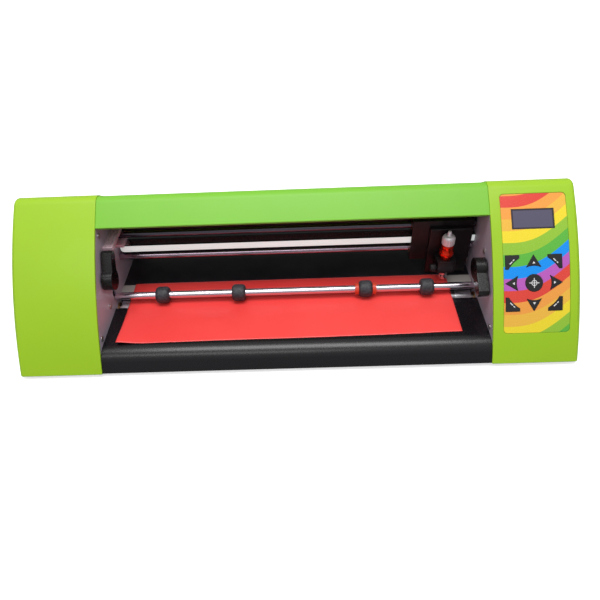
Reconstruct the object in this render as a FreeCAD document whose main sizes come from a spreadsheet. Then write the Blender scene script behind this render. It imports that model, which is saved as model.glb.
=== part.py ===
"""Desktop vinyl cutter: a 360 mm roll-fed cutter with a sheet-metal chassis and two plastic end covers.

Frame: X to the right, Y from front to back, Z up, millimetres. The origin is at the middle of the
bounding box's underside. Each piece is one labelled object, bound to the cells of the sheet "Sizes".
"""
import FreeCAD, Part
import math
import os
import re

import Sketcher

V = FreeCAD.Vector
doc = FreeCAD.newDocument("VinylCutter")

# ---------------------------------------------------------------------------------------------
# Driving dimensions
# ---------------------------------------------------------------------------------------------
SIZES = (
    # casing outline, seen from the side
    ("overall_width", 576, "over both end covers"),
    ("overall_depth", 212, "front lower edge to rear wall"),
    ("foot_height", 5, "rubber feet below the casing"),
    ("ridge_back", 126.1, "ridge corner behind the front lower edge"),
    ("ridge_height", 137.8, "ridge corner above the casing's underside"),
    ("front_bulge", 10.1, "rise of the curved front over its chord"),
    ("shoulder_height", 75, "top of the upright rear wall above the underside"),
    ("toe", 8, "straight run that carries the outline below the underside"),
    ("ridge_radius", 12, "rounding of the ridge"),
    ("shoulder_radius", 22, "rounding of the rear shoulder"),
    ("cover_wall", 2.5, "wall of the moulded end covers"),
    ("cover_edge_radius", 4, "rounding of the end covers' outer edges"),
    ("cover_width", 87, "each end cover, from its outer end to the side plate"),
    ("plate_thickness", 2, "steel side plates and base plate"),
    ("plate_gap", 0.3, "side plates inside the end covers"),
    ("sheet_inset", 1, "painted sheet below the end covers' surface"),
    ("sheet_thickness", 1.5, "painted top cover sheet"),
    ("lip_down", 36, "top cover's front edge below the ridge corner, along the chord"),
    ("lip_flange", 9, "flange folded in at that edge"),
    ("rear_slot_top", 52, "rear edge of the top cover"),
    # media bed
    ("bed_height", 24, "top of the platens"),
    ("platen_wall", 2, "platen extrusions"),
    ("platen_edge_radius", 18, "rounded front edge of the front platen"),
    ("gap_front", -27, "rear edge of the front platen"),
    ("gap_back", -8, "front edge of the rear platen"),
    ("rear_platen_gap", 7, "rear platen short of the rear wall"),
    ("strip_front", 0, "front edge of the cutting strip"),
    ("strip_width", 12, "cutting strip"),
    ("strip_depth", 1, "cutting strip let into the rear platen"),
    ("media_margin_left", 14, "vinyl sheet in from the left side plate"),
    ("media_margin_right", 27, "vinyl sheet in from the right side plate"),
    ("media_front_left", -82, "front corner, left"),
    ("media_front_right", -77.5, "front corner, right"),
    ("media_back", 14, "rear edge of the vinyl sheet"),
    ("media_thickness", 0.3, "film and its paper liner"),
    ("media_lift", 0.05, "sheet above the platens"),
    # drive and pinch rollers
    ("roller_y", -17.5, "drive roller and pinch shaft, both directly above each other"),
    ("drive_radius", 8, "grit drive roller"),
    ("drive_end_gap", 5, "drive roller's barrel short of each side plate"),
    ("journal_radius", 3, "drive roller journals"),
    ("running_fit", 0.05, "radial clearance of shafts in their bushes"),
    ("bush_wall", 2, "drive roller bushes"),
    ("pinch_radius", 9.4, "rubber pinch rollers"),
    ("pinch_gap", 0.15, "pinch rollers above the vinyl"),
    ("shaft_radius", 4, "pinch shaft and guide rods"),
    ("pinch_width", 15, "rubber pinch rollers"),
    ("pinch_outer_left", 54, "first pinch roller from the left side plate"),
    ("pinch_inner_left", 139, "second pinch roller from the left side plate"),
    ("pinch_inner_right", 122.4, "third pinch roller from the right side plate"),
    ("pinch_outer_right", 55, "fourth pinch roller from the right side plate"),
    ("pinch_lift", 5, "lift of the pinch shaft"),
    ("collar_width", 4.2, "collars beside the third pinch roller"),
    ("collar_radius", 6.4, "same"),
    ("lever_rise", 69.5, "height of the lever pivots"),
    ("lever_forward", 13, "lever pivots in front of the pinch shaft"),
    ("lever_hub", 11, "radius of the lever hubs"),
    ("lever_reach", 31, "pivot to the tip of the handle"),
    ("lever_thickness", 11, "levers along the pivot"),
    ("lever_gap", 1.6, "levers off the side plates, clear of the screw heads"),
    ("lever_pin", 3, "radius of the pivot pins"),
    ("cam_radius", 5, "cam discs behind the side plates"),
    ("cam_offset", 2.5, "eccentricity of the cams"),
    ("holder_thickness", 4, "sliding shaft holders"),
    # carriage guide
    ("rod_y", 28, "guide rods"),
    ("lower_rod_z", 55, "lower guide rod"),
    ("upper_rod_z", 86, "upper guide rod"),
    ("beam_front", 38, "front face of the beam"),
    ("beam_depth", 24, "beam extrusion"),
    ("beam_bottom", 46, "beam extrusion"),
    ("beam_top", 98, "beam extrusion"),
    ("beam_wall", 2.5, "beam extrusion"),
    ("belt_z", 66, "lower edge of the carriage belt"),
    ("belt_width", 8, "carriage belt"),
    ("belt_thickness", 1.3, "both toothed belts"),
    ("belt_gap", 0.1, "belts off their pulleys"),
    ("belt_pulley_radius", 5.3, "carriage belt pulleys"),
    ("idler_in", 10.5, "idler pulley in from the left side plate"),
    ("carriage_motor_out", 25, "carriage motor beyond the right side plate"),
    ("motor_size", 42, "square flange of the stepping motors"),
    ("motor_length", 40, "stepping motor bodies"),
    ("motor_boss", 11, "radius of the motors' centring bosses"),
    ("motor_shaft", 2.5, "radius of the motor shafts"),
    ("motor_shaft_length", 18, "motor shafts in front of the mounting face"),
    # carriage and knife
    ("housing_in", 70, "left end of the carriage housing from the right side plate"),
    ("housing_width", 66, "carriage housing"),
    ("housing_front", 18, "carriage housing"),
    ("housing_back", 37, "carriage housing"),
    ("web_thickness", 2.8, "carriage web in front of the belt"),
    ("bush_radius", 6, "linear bushes"),
    ("bush_length", 20, "linear bushes"),
    ("head_in", 18.5, "lift unit from the left end of the housing"),
    ("head_width", 45.5, "lift unit"),
    ("head_front", 13.2, "lift unit"),
    ("head_gap", 5, "lift unit above the bed"),
    ("head_top", 88.5, "lift unit"),
    ("tool_in", 18.5, "knife axis from the left face of the lift unit"),
    ("tool_y", 5, "knife axis"),
    ("tool_radius", 5.6, "knife holder barrel"),
    ("tool_fit", 0.05, "knife holder in its clamp"),
    ("nose_gap", 2.5, "knife holder above the bed"),
    ("knife_radius", 1, "knife shank"),
    ("cap_radius", 7, "depth adjusting cap"),
    # feed drive
    ("feed_motor_y", 30, "feed motor"),
    ("feed_motor_z", 34, "feed motor"),
    ("feed_pulley_radius", 7.3, "pulley on the drive roller"),
    ("feed_motor_pulley_radius", 5, "pulley on the feed motor"),
    ("feed_belt_out", 13, "outer edge of the feed belt beyond the left side plate"),
    ("feed_belt_width", 6, "feed belt"),
    # keypad on the right end cover, laid out in the plane of the front chord
    ("keypad_shift", -0.3, "middle of the keypad from the middle of the end cover"),
    ("keypad_width", 66, "keypad overlay"),
    ("keypad_top", 15, "keypad overlay below the ridge corner"),
    ("keypad_length", 141, "keypad overlay"),
    ("keypad_corner", 4, "keypad overlay"),
    ("recess_depth", 1, "recess in the end cover"),
    ("overlay_inset", 0.25, "overlay's face below the cover's surface"),
    ("overlay_gap", 0.3, "overlay short of the recess edge"),
    ("keys_shift", -2.8, "middle of the keys from the middle of the keypad"),
    ("keys_down", 105.7, "middle of the keys below the ridge corner"),
    ("key_reach", 28, "outer edge of the keys from the middle"),
    ("arrow_base", 16, "inner edge of the arrow keys"),
    ("arrow_half", 7.1, "half width of the arrow keys"),
    ("corner_leg", 13.8, "legs of the corner keys"),
    ("corner_tip", 2.8, "blunt tips of the corner keys"),
    ("arrow_hollow", 17.5, "radius of the arrow keys' hollow inner sides"),
    ("corner_hollow", 28.9, "radius of the corner keys' hollow inner sides"),
    ("centre_key_radius", 8.5, "round key"),
    ("key_gap", 0.35, "keys in their holes"),
    ("key_proud", 0.3, "keys above the cover's surface"),
    ("key_flange", 0.9, "rim that keeps a key behind the cover"),
    ("lcd_shift", -1.2, "middle of the display from the middle of the keypad"),
    ("lcd_width", 42, "display window"),
    ("lcd_down", 41.2, "middle of the display below the ridge corner"),
    ("lcd_height", 20, "display window"),
    ("lcd_inset", 0.7, "display glass below the cover's surface"),
    # rear connectors
    ("inlet_in", 40, "middle of the mains inlet from the left end"),
    ("inlet_z", 42, "middle of the mains inlet"),
    ("inlet_width", 27, "mains inlet opening"),
    ("inlet_height", 20, "mains inlet opening"),
    ("switch_from_inlet", 29, "middle of the power switch from the middle of the inlet"),
    ("switch_width", 14, "power switch opening"),
    ("socket_in", 44, "middle of the data socket from the right end"),
    ("socket_width", 13, "data socket opening"),
    ("socket_height", 12, "data socket opening"),
    ("rocker_pivot", 2, "radius of the power switch's pivot"),
    ("screw_radius", 1.5, "side plate screws"),
    ("screw_head", 2.9, "radius of the side plate screws' heads"),
    ("screw_head_height", 1.3, "side plate screws"),
    ("boss_radius", 4, "screw bosses of the end covers"),
)
sheet = doc.addObject("Spreadsheet::Sheet", "Sizes")
for row, (alias, amount, meaning) in enumerate(SIZES, 1):
    sheet.set(f"A{row}", meaning)
    sheet.set(f"B{row}", str(amount))
    sheet.setAlias(f"B{row}", alias)
doc.recompute()
ALIASES = {alias for alias, amount, meaning in SIZES}


# ---------------------------------------------------------------------------------------------
# Small helpers: every argument that is a size or a place is an expression in the sheet's aliases
# ---------------------------------------------------------------------------------------------
def full(expression):
    """Write an expression with each alias in the form that names the sheet."""
    text = str(expression)
    return re.sub(r"[a-z_]+", lambda word: "Sizes." + word[0] if word[0] in ALIASES else word[0], text)


def size(expression):
    """The present value of an expression, as a number."""
    found = sheet.evalExpression(full(expression))
    return float(getattr(found, "Value", found))


def bind(item, **expressions):
    for prop, expression in expressions.items():
        item.setExpression(prop.replace("__", "."), full(expression))
    return item


def move(item, x="0", y="0", z="0"):
    return bind(item, Placement__Base__x=x, Placement__Base__y=y, Placement__Base__z=z)


TURNS = {
    "X": FreeCAD.Rotation(V(0, 1, 0), 90),
    "Y": FreeCAD.Rotation(V(1, 0, 0), -90),
    "Z": FreeCAD.Rotation(),
}


def box(x0, x1, y0, y1, z0, z1):
    item = doc.addObject("Part::Box", "Box")
    bind(item, Length=f"({x1}) - ({x0})", Width=f"({y1}) - ({y0})", Height=f"({z1}) - ({z0})")
    return move(item, x0, y0, z0)


def rod(axis, start, end, radius, x="0", y="0", z="0"):
    """A cylinder along X, Y or Z from start to end; the other two places give its axis."""
    item = doc.addObject("Part::Cylinder", "Rod")
    item.Placement = FreeCAD.Placement(V(), TURNS[axis])
    bind(item, Radius=radius, Height=f"({end}) - ({start})")
    place = {"x": x, "y": y, "z": z, axis.lower(): start}
    return move(item, **place)


def fuse(*items):
    item = doc.addObject("Part::MultiFuse", "Fuse")
    item.Shapes = list(items)
    return item


def cut(base, *tools):
    item = doc.addObject("Part::Cut", "Cut")
    item.Base = base
    item.Tool = tools[0] if len(tools) == 1 else fuse(*tools)
    return item


def common(first, second):
    item = doc.addObject("Part::Common", "Common")
    item.Base = first
    item.Tool = second
    return item


def group(*items):
    """Like pieces that share one node, each its own solid."""
    item = doc.addObject("Part::Compound", "Group")
    item.Links = list(items)
    return item


def rounded(base, radius, chosen):
    """Round the edges of base for which chosen(middle point, direction) is true."""
    doc.recompute()
    picks = []
    for number, edge in enumerate(base.Shape.Edges, 1):
        if isinstance(edge.Curve, Part.Line):
            middle = edge.valueAt((edge.FirstParameter + edge.LastParameter) / 2)
            if chosen(middle, edge.Curve.Direction):
                picks.append((number, size(radius), size(radius)))
    item = doc.addObject("Part::Fillet", "Fillet")
    item.Base = base
    item.Edges = picks
    return item


def outline_sketch(owner, name, points, turn=None):
    """A closed sketch through points, each held by its two coordinates."""
    sketch = owner.newObject("Sketcher::SketchObject", name) if owner else None
    if sketch is None:
        sketch = doc.addObject("Sketcher::SketchObject", name)
        if turn:
            sketch.Placement = FreeCAD.Placement(V(), turn)
    corners = [V(size(a), size(b), 0) for a, b in points]
    count = len(points)
    for k in range(count):
        sketch.addGeometry(Part.LineSegment(corners[k], corners[(k + 1) % count]), False)
    for k in range(count):
        sketch.addConstraint(Sketcher.Constraint("Coincident", k, 2, (k + 1) % count, 1))
    for k, (a, b) in enumerate(points):
        for kind, expression, value, axis in (
            ("DistanceX", a, corners[k].x, -2),
            ("DistanceY", b, corners[k].y, -1),
        ):
            if str(expression) == "0":
                sketch.addConstraint(Sketcher.Constraint("PointOnObject", k, 1, axis))
            else:
                number = sketch.addConstraint(Sketcher.Constraint(kind, -1, 1, k, 1, value))
                sketch.setExpression(f"Constraints[{number}]", full(expression))
    return sketch


def body(name):
    return doc.addObject("PartDesign::Body", name)


def attach(sketch, owner, plane, offset="0"):
    support = [item for item in owner.Origin.OriginFeatures if item.Role == plane][0]
    sketch.AttachmentSupport = [(support, "")]
    sketch.MapMode = "FlatFace"
    bind(sketch, AttachmentOffset__Base__z=offset)


def turned(name, plane, axis, points):
    """A body turned from a half section; axis is the sketch's own H_Axis or V_Axis."""
    owner = body(name)
    section = outline_sketch(owner, name + "_section", points)
    attach(section, owner, plane)
    turn = owner.newObject("PartDesign::Revolution", name + "_turn")
    turn.Profile = section
    turn.ReferenceAxis = (section, [axis])
    turn.Angle = 360
    return owner


def padded(name, plane, offset, points, length):
    owner = body(name)
    section = outline_sketch(owner, name + "_section", points)
    attach(section, owner, plane, offset)
    pad = owner.newObject("PartDesign::Pad", name + "_pad")
    pad.Profile = section
    bind(pad, Length=length)
    return owner


NODES = []


def node(item, name):
    item.Label = name
    NODES.append(item)
    return item


# ---------------------------------------------------------------------------------------------
# The casing's outline and the solids that follow it
# ---------------------------------------------------------------------------------------------
FRONT = "(-overall_depth / 2)"
BACK = "(overall_depth / 2)"
UNDER = "foot_height"
RIDGE_Y = f"({FRONT} + ridge_back)"
RIDGE_Z = f"({UNDER} + ridge_height)"
CHORD = "sqrt(ridge_back ^ 2 + ridge_height ^ 2)"
CHORD_ANGLE = "atan(ridge_height / ridge_back)"
ARC_RADIUS = f"({CHORD} ^ 2 / (8 * front_bulge) + front_bulge / 2)"
TOE_ANGLE = f"({CHORD_ANGLE} + 2 * atan(2 * front_bulge / {CHORD}))"
ACROSS = FreeCAD.Rotation(V(1, 1, 1), 120)
OUTER = "(overall_width / 2)"
SIDE = f"({OUTER} - cover_width)"
PLATE_OUT = f"({SIDE} + plate_thickness)"
BASE_TOP = f"({UNDER} + plate_thickness)"
IDLER_X = f"(idler_in - {SIDE})"
CARRIAGE_MOTOR_X = f"({PLATE_OUT} + carriage_motor_out)"
DRIVE_Z = "(bed_height - drive_radius)"
MEDIA_TOP = "(bed_height + media_lift + media_thickness)"
PINCH_Z = f"({MEDIA_TOP} + pinch_gap + pinch_radius)"
MOTOR_TOP = "(belt_z - 10)"
LEVER_Y = "(roller_y - lever_forward)"
FEED_BELT_X = f"(-{PLATE_OUT} - feed_belt_out)"
HOUSING_LEFT = f"({SIDE} - housing_in)"
HEAD_LEFT = f"({HOUSING_LEFT} + head_in)"
TOOL_X = f"({HEAD_LEFT} + tool_in)"
MEDIA_LEFT = f"(media_margin_left - {SIDE})"
MEDIA_RIGHT = f"({SIDE} - media_margin_right)"
REAR_PLATEN_BACK = f"({BACK} - rear_platen_gap)"
KEYPAD_X = f"(({SIDE} + {OUTER}) / 2 + keypad_shift)"
KEYS_X = f"({KEYPAD_X} + keys_shift)"
LCD_X = f"({KEYPAD_X} + lcd_shift)"
INLET_X = f"(inlet_in - {OUTER})"
SWITCH_X = f"({INLET_X} + switch_from_inlet)"
SOCKET_X = f"({OUTER} - socket_in)"


def casing_outline():
    """Front arc, ridge, rear slope, rear wall; the front and the rear wall run on below the underside."""
    toe_y = f"{FRONT} - toe * cos({TOE_ANGLE})"
    toe_z = f"{UNDER} - toe * sin({TOE_ANGLE})"
    points = (
        (toe_y, toe_z),
        (FRONT, UNDER),
        (RIDGE_Y, RIDGE_Z),
        (BACK, f"{UNDER} + shoulder_height"),
        (BACK, toe_z),
    )
    sketch = doc.addObject("Sketcher::SketchObject", "CasingOutline")
    sketch.Placement = FreeCAD.Placement(V(), ACROSS)
    corners = [V(size(a), size(b), 0) for a, b in points]
    chord = corners[2] - corners[1]
    outward = V(-chord.y, chord.x, 0).normalize()
    crown = (corners[1] + corners[2]) / 2 + outward * size("front_bulge")
    sketch.addGeometry(Part.LineSegment(corners[0], corners[1]), False)
    sketch.addGeometry(Part.Arc(corners[1], crown, corners[2]), False)
    for k in (2, 3, 4):
        sketch.addGeometry(Part.LineSegment(corners[k], corners[(k + 1) % 5]), False)
    # the arc is stored counter-clockwise, so its own ends are swapped
    starts = {0: 1, 1: 2, 2: 1, 3: 1, 4: 1}
    for k in range(5):
        after = (k + 1) % 5
        sketch.addConstraint(Sketcher.Constraint("Coincident", k, 3 - starts[k], after, starts[after]))
    for k, (a, b) in enumerate(points):
        for kind, expression, value in (("DistanceX", a, corners[k].x), ("DistanceY", b, corners[k].y)):
            number = sketch.addConstraint(Sketcher.Constraint(kind, -1, 1, k, starts[k], value))
            sketch.setExpression(f"Constraints[{number}]", full(expression))
    number = sketch.addConstraint(Sketcher.Constraint("Radius", 1, size(ARC_RADIUS)))
    sketch.setExpression(f"Constraints[{number}]", full(ARC_RADIUS))
    return sketch


OUTLINE = casing_outline()


def casing_solid(inset, x0, x1):
    """The casing's outline moved in by inset, from x0 to x1, with its ridge and shoulder rounded."""
    source = OUTLINE
    if str(inset) != "0":
        source = doc.addObject("Part::Offset2D", "Inset")
        source.Source = OUTLINE
        source.Join = 2
        bind(source, Value=f"-({inset})")
    block = doc.addObject("Part::Extrusion", "Casing")
    block.Base = source
    block.DirMode = "Custom"
    block.Dir = V(1, 0, 0)
    block.Solid = True
    bind(block, LengthFwd=f"({x1}) - ({x0})", Placement__Base__x=x0)
    top = size(f"{UNDER} + shoulder_height")
    sharp = rounded(block, f"ridge_radius - ({inset})", lambda at, way: abs(way.x) > 0.9 and at.z > top + 20)
    return rounded(
        sharp,
        f"shoulder_radius - ({inset})",
        lambda at, way: abs(way.x) > 0.9 and at.y > 80 and abs(at.z - top) < 8,
    )


def tilted(item):
    """Stand an item built in the chord's plane on it: y runs up the chord to the ridge, z points out."""
    stood = group(item)
    stood.Placement = FreeCAD.Placement(V(), FreeCAD.Rotation(V(1, 0, 0), size(CHORD_ANGLE)))
    return move(stood, "0", RIDGE_Y, RIDGE_Z)


ABOVE_UNDER = (UNDER, f"{RIDGE_Z} + 1")
FULL_DEPTH = (f"{FRONT} - 1", f"{BACK} + 1")


# ---------------------------------------------------------------------------------------------
# Keys, display and overlay, laid out in the chord's plane
# ---------------------------------------------------------------------------------------------
KEY_LOW = "(-3.4)"
KEY_HIGH = "14"
QUARTERS = (("1", "0"), ("0", "1"), ("-1", "0"), ("0", "-1"))


def quarter_turned(points, cosine, sine):
    return [
        (
            f"{KEYS_X} + ({a}) * ({cosine}) - ({b}) * ({sine})",
            f"-keys_down + ({a}) * ({sine}) + ({b}) * ({cosine})",
        )
        for a, b in points
    ]


ARROW = (("key_reach", "0"), ("arrow_base", "arrow_half"), ("arrow_base", "-arrow_half"))
CORNER = (
    ("key_reach", "key_reach"),
    ("key_reach - corner_leg", "key_reach"),
    ("key_reach - corner_leg", "key_reach - corner_tip"),
    ("key_reach - corner_tip", "key_reach - corner_leg"),
    ("key_reach", "key_reach - corner_leg"),
)
KEY_SHAPES = {}
for points, names in (
    (ARROW, ("key_right", "key_up", "key_left", "key_down")),
    (CORNER, ("key_upper_right", "key_upper_left", "key_lower_left", "key_lower_right")),
):
    for name, (cosine, sine) in zip(names, QUARTERS):
        KEY_SHAPES[name] = outline_sketch(None, name + "_outline", quarter_turned(points, cosine, sine))


def prism(source, low, high):
    item = doc.addObject("Part::Extrusion", "Prism")
    item.Base = source
    item.DirMode = "Custom"
    item.Dir = V(0, 0, 1)
    item.Solid = True
    return bind(item, LengthFwd=f"({high}) - ({low})", Placement__Base__z=low)


def key_prism(name, grow, low, high):
    """A key's outline, grown on all sides, between two heights over the chord."""
    if name == "key_centre":
        return rod("Z", low, high, f"centre_key_radius + ({grow})", KEYS_X, "-keys_down")
    source = KEY_SHAPES[name]
    if grow != "0":
        grown = doc.addObject("Part::Offset2D", "Grown")
        grown.Source = source
        grown.Join = 2
        bind(grown, Value=grow)
        source = grown
    hollow = "corner_hollow" if name.count("_") == 2 else "arrow_hollow"
    inner = rod("Z", f"({low}) - 1", f"({high}) + 1", f"{hollow} - ({grow})", KEYS_X, "-keys_down")
    return cut(prism(source, low, high), inner)


KEY_NAMES = sorted(KEY_SHAPES) + ["key_centre"]
KEY_TOP = casing_solid("-key_proud", f"{SIDE} + 2", f"{OUTER} - 1")


def key(name):
    shape = fuse(key_prism(name, "0", KEY_LOW, KEY_HIGH), key_prism(name, "key_flange", "2.4", "3.4"))
    return node(common(tilted(shape), KEY_TOP), name)


def panel_box(x_middle, width, down, length, low, high):
    """A box in the chord's plane, by its middle across and its top edge below the ridge corner."""
    left, right = f"{x_middle} - ({width}) / 2", f"{x_middle} + ({width}) / 2"
    return box(left, right, f"-({down}) - ({length})", f"-({down})", low, high)


def keypad_plate(shrink, high):
    plate = panel_box(
        KEYPAD_X,
        f"keypad_width - 2 * ({shrink})",
        f"keypad_top + ({shrink})",
        f"keypad_length - 2 * ({shrink})",
        "-16",
        high,
    )
    return rounded(plate, "keypad_corner", lambda at, way: abs(way.z) > 0.9)


def lcd_block(grow, low, high):
    return panel_box(
        LCD_X,
        f"lcd_width + 2 * ({grow})",
        f"lcd_down - lcd_height / 2 - ({grow})",
        f"lcd_height + 2 * ({grow})",
        low,
        high,
    )


KEY_HOLES = [key_prism(name, "key_gap", "-16", "20") for name in KEY_NAMES]
PANEL_HOLES = tilted(fuse(lcd_block("key_gap", "-16", "20"), *KEY_HOLES))


def keypad():
    face = casing_solid("overlay_inset", f"{SIDE} + 2", f"{OUTER} - 1")
    floor = casing_solid("recess_depth", f"{SIDE} + 2", f"{OUTER} - 1")
    layer = cut(face, floor)
    sheet_piece = common(layer, tilted(keypad_plate("overlay_gap", "20")))
    node(cut(sheet_piece, PANEL_HOLES), "keypad_overlay")
    for name in KEY_NAMES:
        key(name)
    glass = common(
        tilted(lcd_block("0", "-3", "20")), casing_solid("lcd_inset", f"{SIDE} + 2", f"{OUTER} - 1")
    )
    top = "lcd_down - lcd_height / 2 - 5"
    board = panel_box(LCD_X, "lcd_width + 10", top, "lcd_height + 10", "-4.6", "-3")
    node(fuse(glass, tilted(board)), "lcd_module")
    spread = "2 * key_reach + 6"
    board = panel_box(KEYS_X, spread, "keys_down - key_reach - 3", spread, "-6.2", "-4.6")
    domes = [
        rod("Z", "-4.7", "-4.3", "3", f"{KEYS_X} + ({a})", f"-keys_down + ({b})")
        for a in ("-22", "0", "22")
        for b in ("-22", "0", "22")
    ]
    node(tilted(fuse(board, *domes)), "keypad_board")


# ---------------------------------------------------------------------------------------------
# End covers, side plates and the sheet-metal casing
# ---------------------------------------------------------------------------------------------
REAR_BOSS_Y = f"({BACK} - 31)"
LEFT_BOSSES = (
    (f"{RIDGE_Y} - 27.2", f"{RIDGE_Z} - 33.3"),
    (f"{FRONT} + 27", "bed_height + 6.5"),
    (REAR_BOSS_Y, "60"),
)
RIGHT_BOSSES = (
    (f"{RIDGE_Y} - 36.1", f"{RIDGE_Z} - 62.8"),
    (f"{FRONT} + 29", "bed_height + 5.5"),
    (REAR_BOSS_Y, "60"),
)
LEFT_EXTRA_SCREW = ("roller_y - 19.7", f"{PINCH_Z} + 3")


def span(side, near, far):
    """An interval of X given by two distances from the middle, on the left (-1) or right (+1)."""
    if side < 0:
        return f"-({far})", f"-({near})"
    return near, far


def end_cover(side, bosses, *openings):
    x0, x1 = span(side, SIDE, OUTER)
    shell = casing_solid("0", x0, x1)
    edge = size(OUTER)
    doc.recompute()
    picks = [
        (number, size("cover_edge_radius"), size("cover_edge_radius"))
        for number, one in enumerate(shell.Shape.Edges, 1)
        if abs(abs(one.BoundBox.XMin) - edge) < 0.01
        and abs(abs(one.BoundBox.XMax) - edge) < 0.01
        and one.BoundBox.ZMax > size(UNDER) + 1
    ]
    soft = doc.addObject("Part::Fillet", "SoftEdge")
    soft.Base = shell
    soft.Edges = picks
    hollow_x = span(side, f"{SIDE} - 1", f"{OUTER} - cover_wall")
    shell = cut(soft, casing_solid("cover_wall", *hollow_x))
    shell = common(shell, box(f"-{OUTER} - 1", f"{OUTER} + 1", *FULL_DEPTH, *ABOVE_UNDER))
    posts = []
    for y, z in bosses:
        x0, x1 = span(side, PLATE_OUT, f"{OUTER} - cover_wall / 2")
        post = rod("X", x0, x1, "boss_radius", y=y, z=z)
        x0, x1 = span(side, PLATE_OUT, f"{PLATE_OUT} + 10")
        posts.append(cut(post, rod("X", x0, x1, "screw_radius", y=y, z=z)))
    shell = fuse(shell, *posts)
    return cut(shell, *openings) if openings else shell


def side_plate(side, bosses, holes, tab=None):
    x0, x1 = span(side, SIDE, PLATE_OUT)
    plate = casing_solid("cover_wall + plate_gap", x0, x1)
    plate = common(plate, box(x0, x1, *FULL_DEPTH, BASE_TOP, f"{RIDGE_Z} + 1"))
    if tab:
        plate = fuse(plate, tab)
    across = (f"({x0}) - 1", f"({x1}) + 1")
    tools = [rod("X", *across, "screw_radius", y=y, z=z) for y, z in bosses]
    for z in ("lower_rod_z", "upper_rod_z"):
        tools.append(rod("X", *across, "shaft_radius + running_fit", y="rod_y", z=z))
    tools.append(rod("X", *across, "journal_radius + bush_wall", y="roller_y", z=DRIVE_Z))
    tools.append(rod("X", *across, "lever_pin + running_fit", y=LEVER_Y, z="lever_rise"))
    slot_half = "(shaft_radius + 0.4)"
    tools.append(rod("X", *across, slot_half, y="roller_y", z=PINCH_Z))
    tools.append(rod("X", *across, slot_half, y="roller_y", z=f"{PINCH_Z} + pinch_lift + 0.4"))
    tools.append(
        box(
            *across,
            f"roller_y - {slot_half}",
            f"roller_y + {slot_half}",
            PINCH_Z,
            f"{PINCH_Z} + pinch_lift + 0.4",
        )
    )
    return cut(plate, *tools, *holes)


def casing():
    inlet_box = box(
        f"{INLET_X} - inlet_width / 2",
        f"{INLET_X} + inlet_width / 2",
        f"{BACK} - 5",
        f"{BACK} + 1",
        "inlet_z - inlet_height / 2",
        "inlet_z + inlet_height / 2",
    )
    switch_box = box(
        f"{SWITCH_X} - switch_width / 2",
        f"{SWITCH_X} + switch_width / 2",
        f"{BACK} - 5",
        f"{BACK} + 1",
        "inlet_z - inlet_height / 2",
        "inlet_z + inlet_height / 2",
    )
    node(end_cover(-1, LEFT_BOSSES, inlet_box, switch_box), "left_end_cover")
    recess = common(
        cut(
            casing_solid("-1", f"{SIDE} + 2", f"{OUTER} - 1"),
            casing_solid("recess_depth", f"{SIDE} + 1", f"{OUTER} - 0.5"),
        ),
        tilted(keypad_plate("0", "20")),
    )
    socket_box = box(
        f"{SOCKET_X} - socket_width / 2",
        f"{SOCKET_X} + socket_width / 2",
        f"{BACK} - 5",
        f"{BACK} + 1",
        "inlet_z - socket_height / 2",
        "inlet_z + socket_height / 2",
    )
    node(end_cover(1, RIGHT_BOSSES, recess, PANEL_HOLES, socket_box), "right_end_cover")

    y, z = LEFT_EXTRA_SCREW
    extra = rod("X", f"-{PLATE_OUT} - 1", f"-{SIDE} + 1", "screw_radius", y=y, z=z)
    node(side_plate(-1, LEFT_BOSSES, [extra]), "left_side_plate")
    belt_window = box(
        f"{SIDE} - 1",
        f"{PLATE_OUT} + 1",
        "rod_y - belt_pulley_radius - 3",
        "rod_y + belt_pulley_radius + 3",
        "belt_z - 2",
        "belt_z + belt_width + 2",
    )
    half = "motor_size / 2"
    tab = box(
        f"{PLATE_OUT} - 0.5",
        f"{CARRIAGE_MOTOR_X} + {half} + 2",
        f"rod_y - {half} - 2",
        f"rod_y + {half} + 2",
        MOTOR_TOP,
        f"{MOTOR_TOP} + plate_thickness",
    )
    boss = rod(
        "Z",
        f"{MOTOR_TOP} - 1",
        f"{MOTOR_TOP} + 5",
        "motor_boss + running_fit",
        CARRIAGE_MOTOR_X,
        "rod_y",
    )
    node(side_plate(1, RIGHT_BOSSES, [belt_window, boss], tab), "right_side_plate")

    skin = cut(
        casing_solid("sheet_inset", f"-{SIDE}", SIDE),
        casing_solid("sheet_inset + sheet_thickness", f"-{SIDE} - 1", f"{SIDE} + 1"),
    )
    low = box(f"-{SIDE} - 2", f"{SIDE} + 2", f"{FRONT} - 20", f"{BACK} + 1", "-20", "rear_slot_top")
    front = tilted(box(f"-{SIDE} - 2", f"{SIDE} + 2", "-300", "-lip_down", "-60", "60"))
    tip = "(front_bulge - 4)"
    flange = box(f"-{SIDE}", SIDE, "-lip_down", "-lip_down + sheet_thickness", f"{tip} - lip_flange", tip)
    node(fuse(cut(skin, low, front), tilted(flange)), "top_cover")


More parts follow.
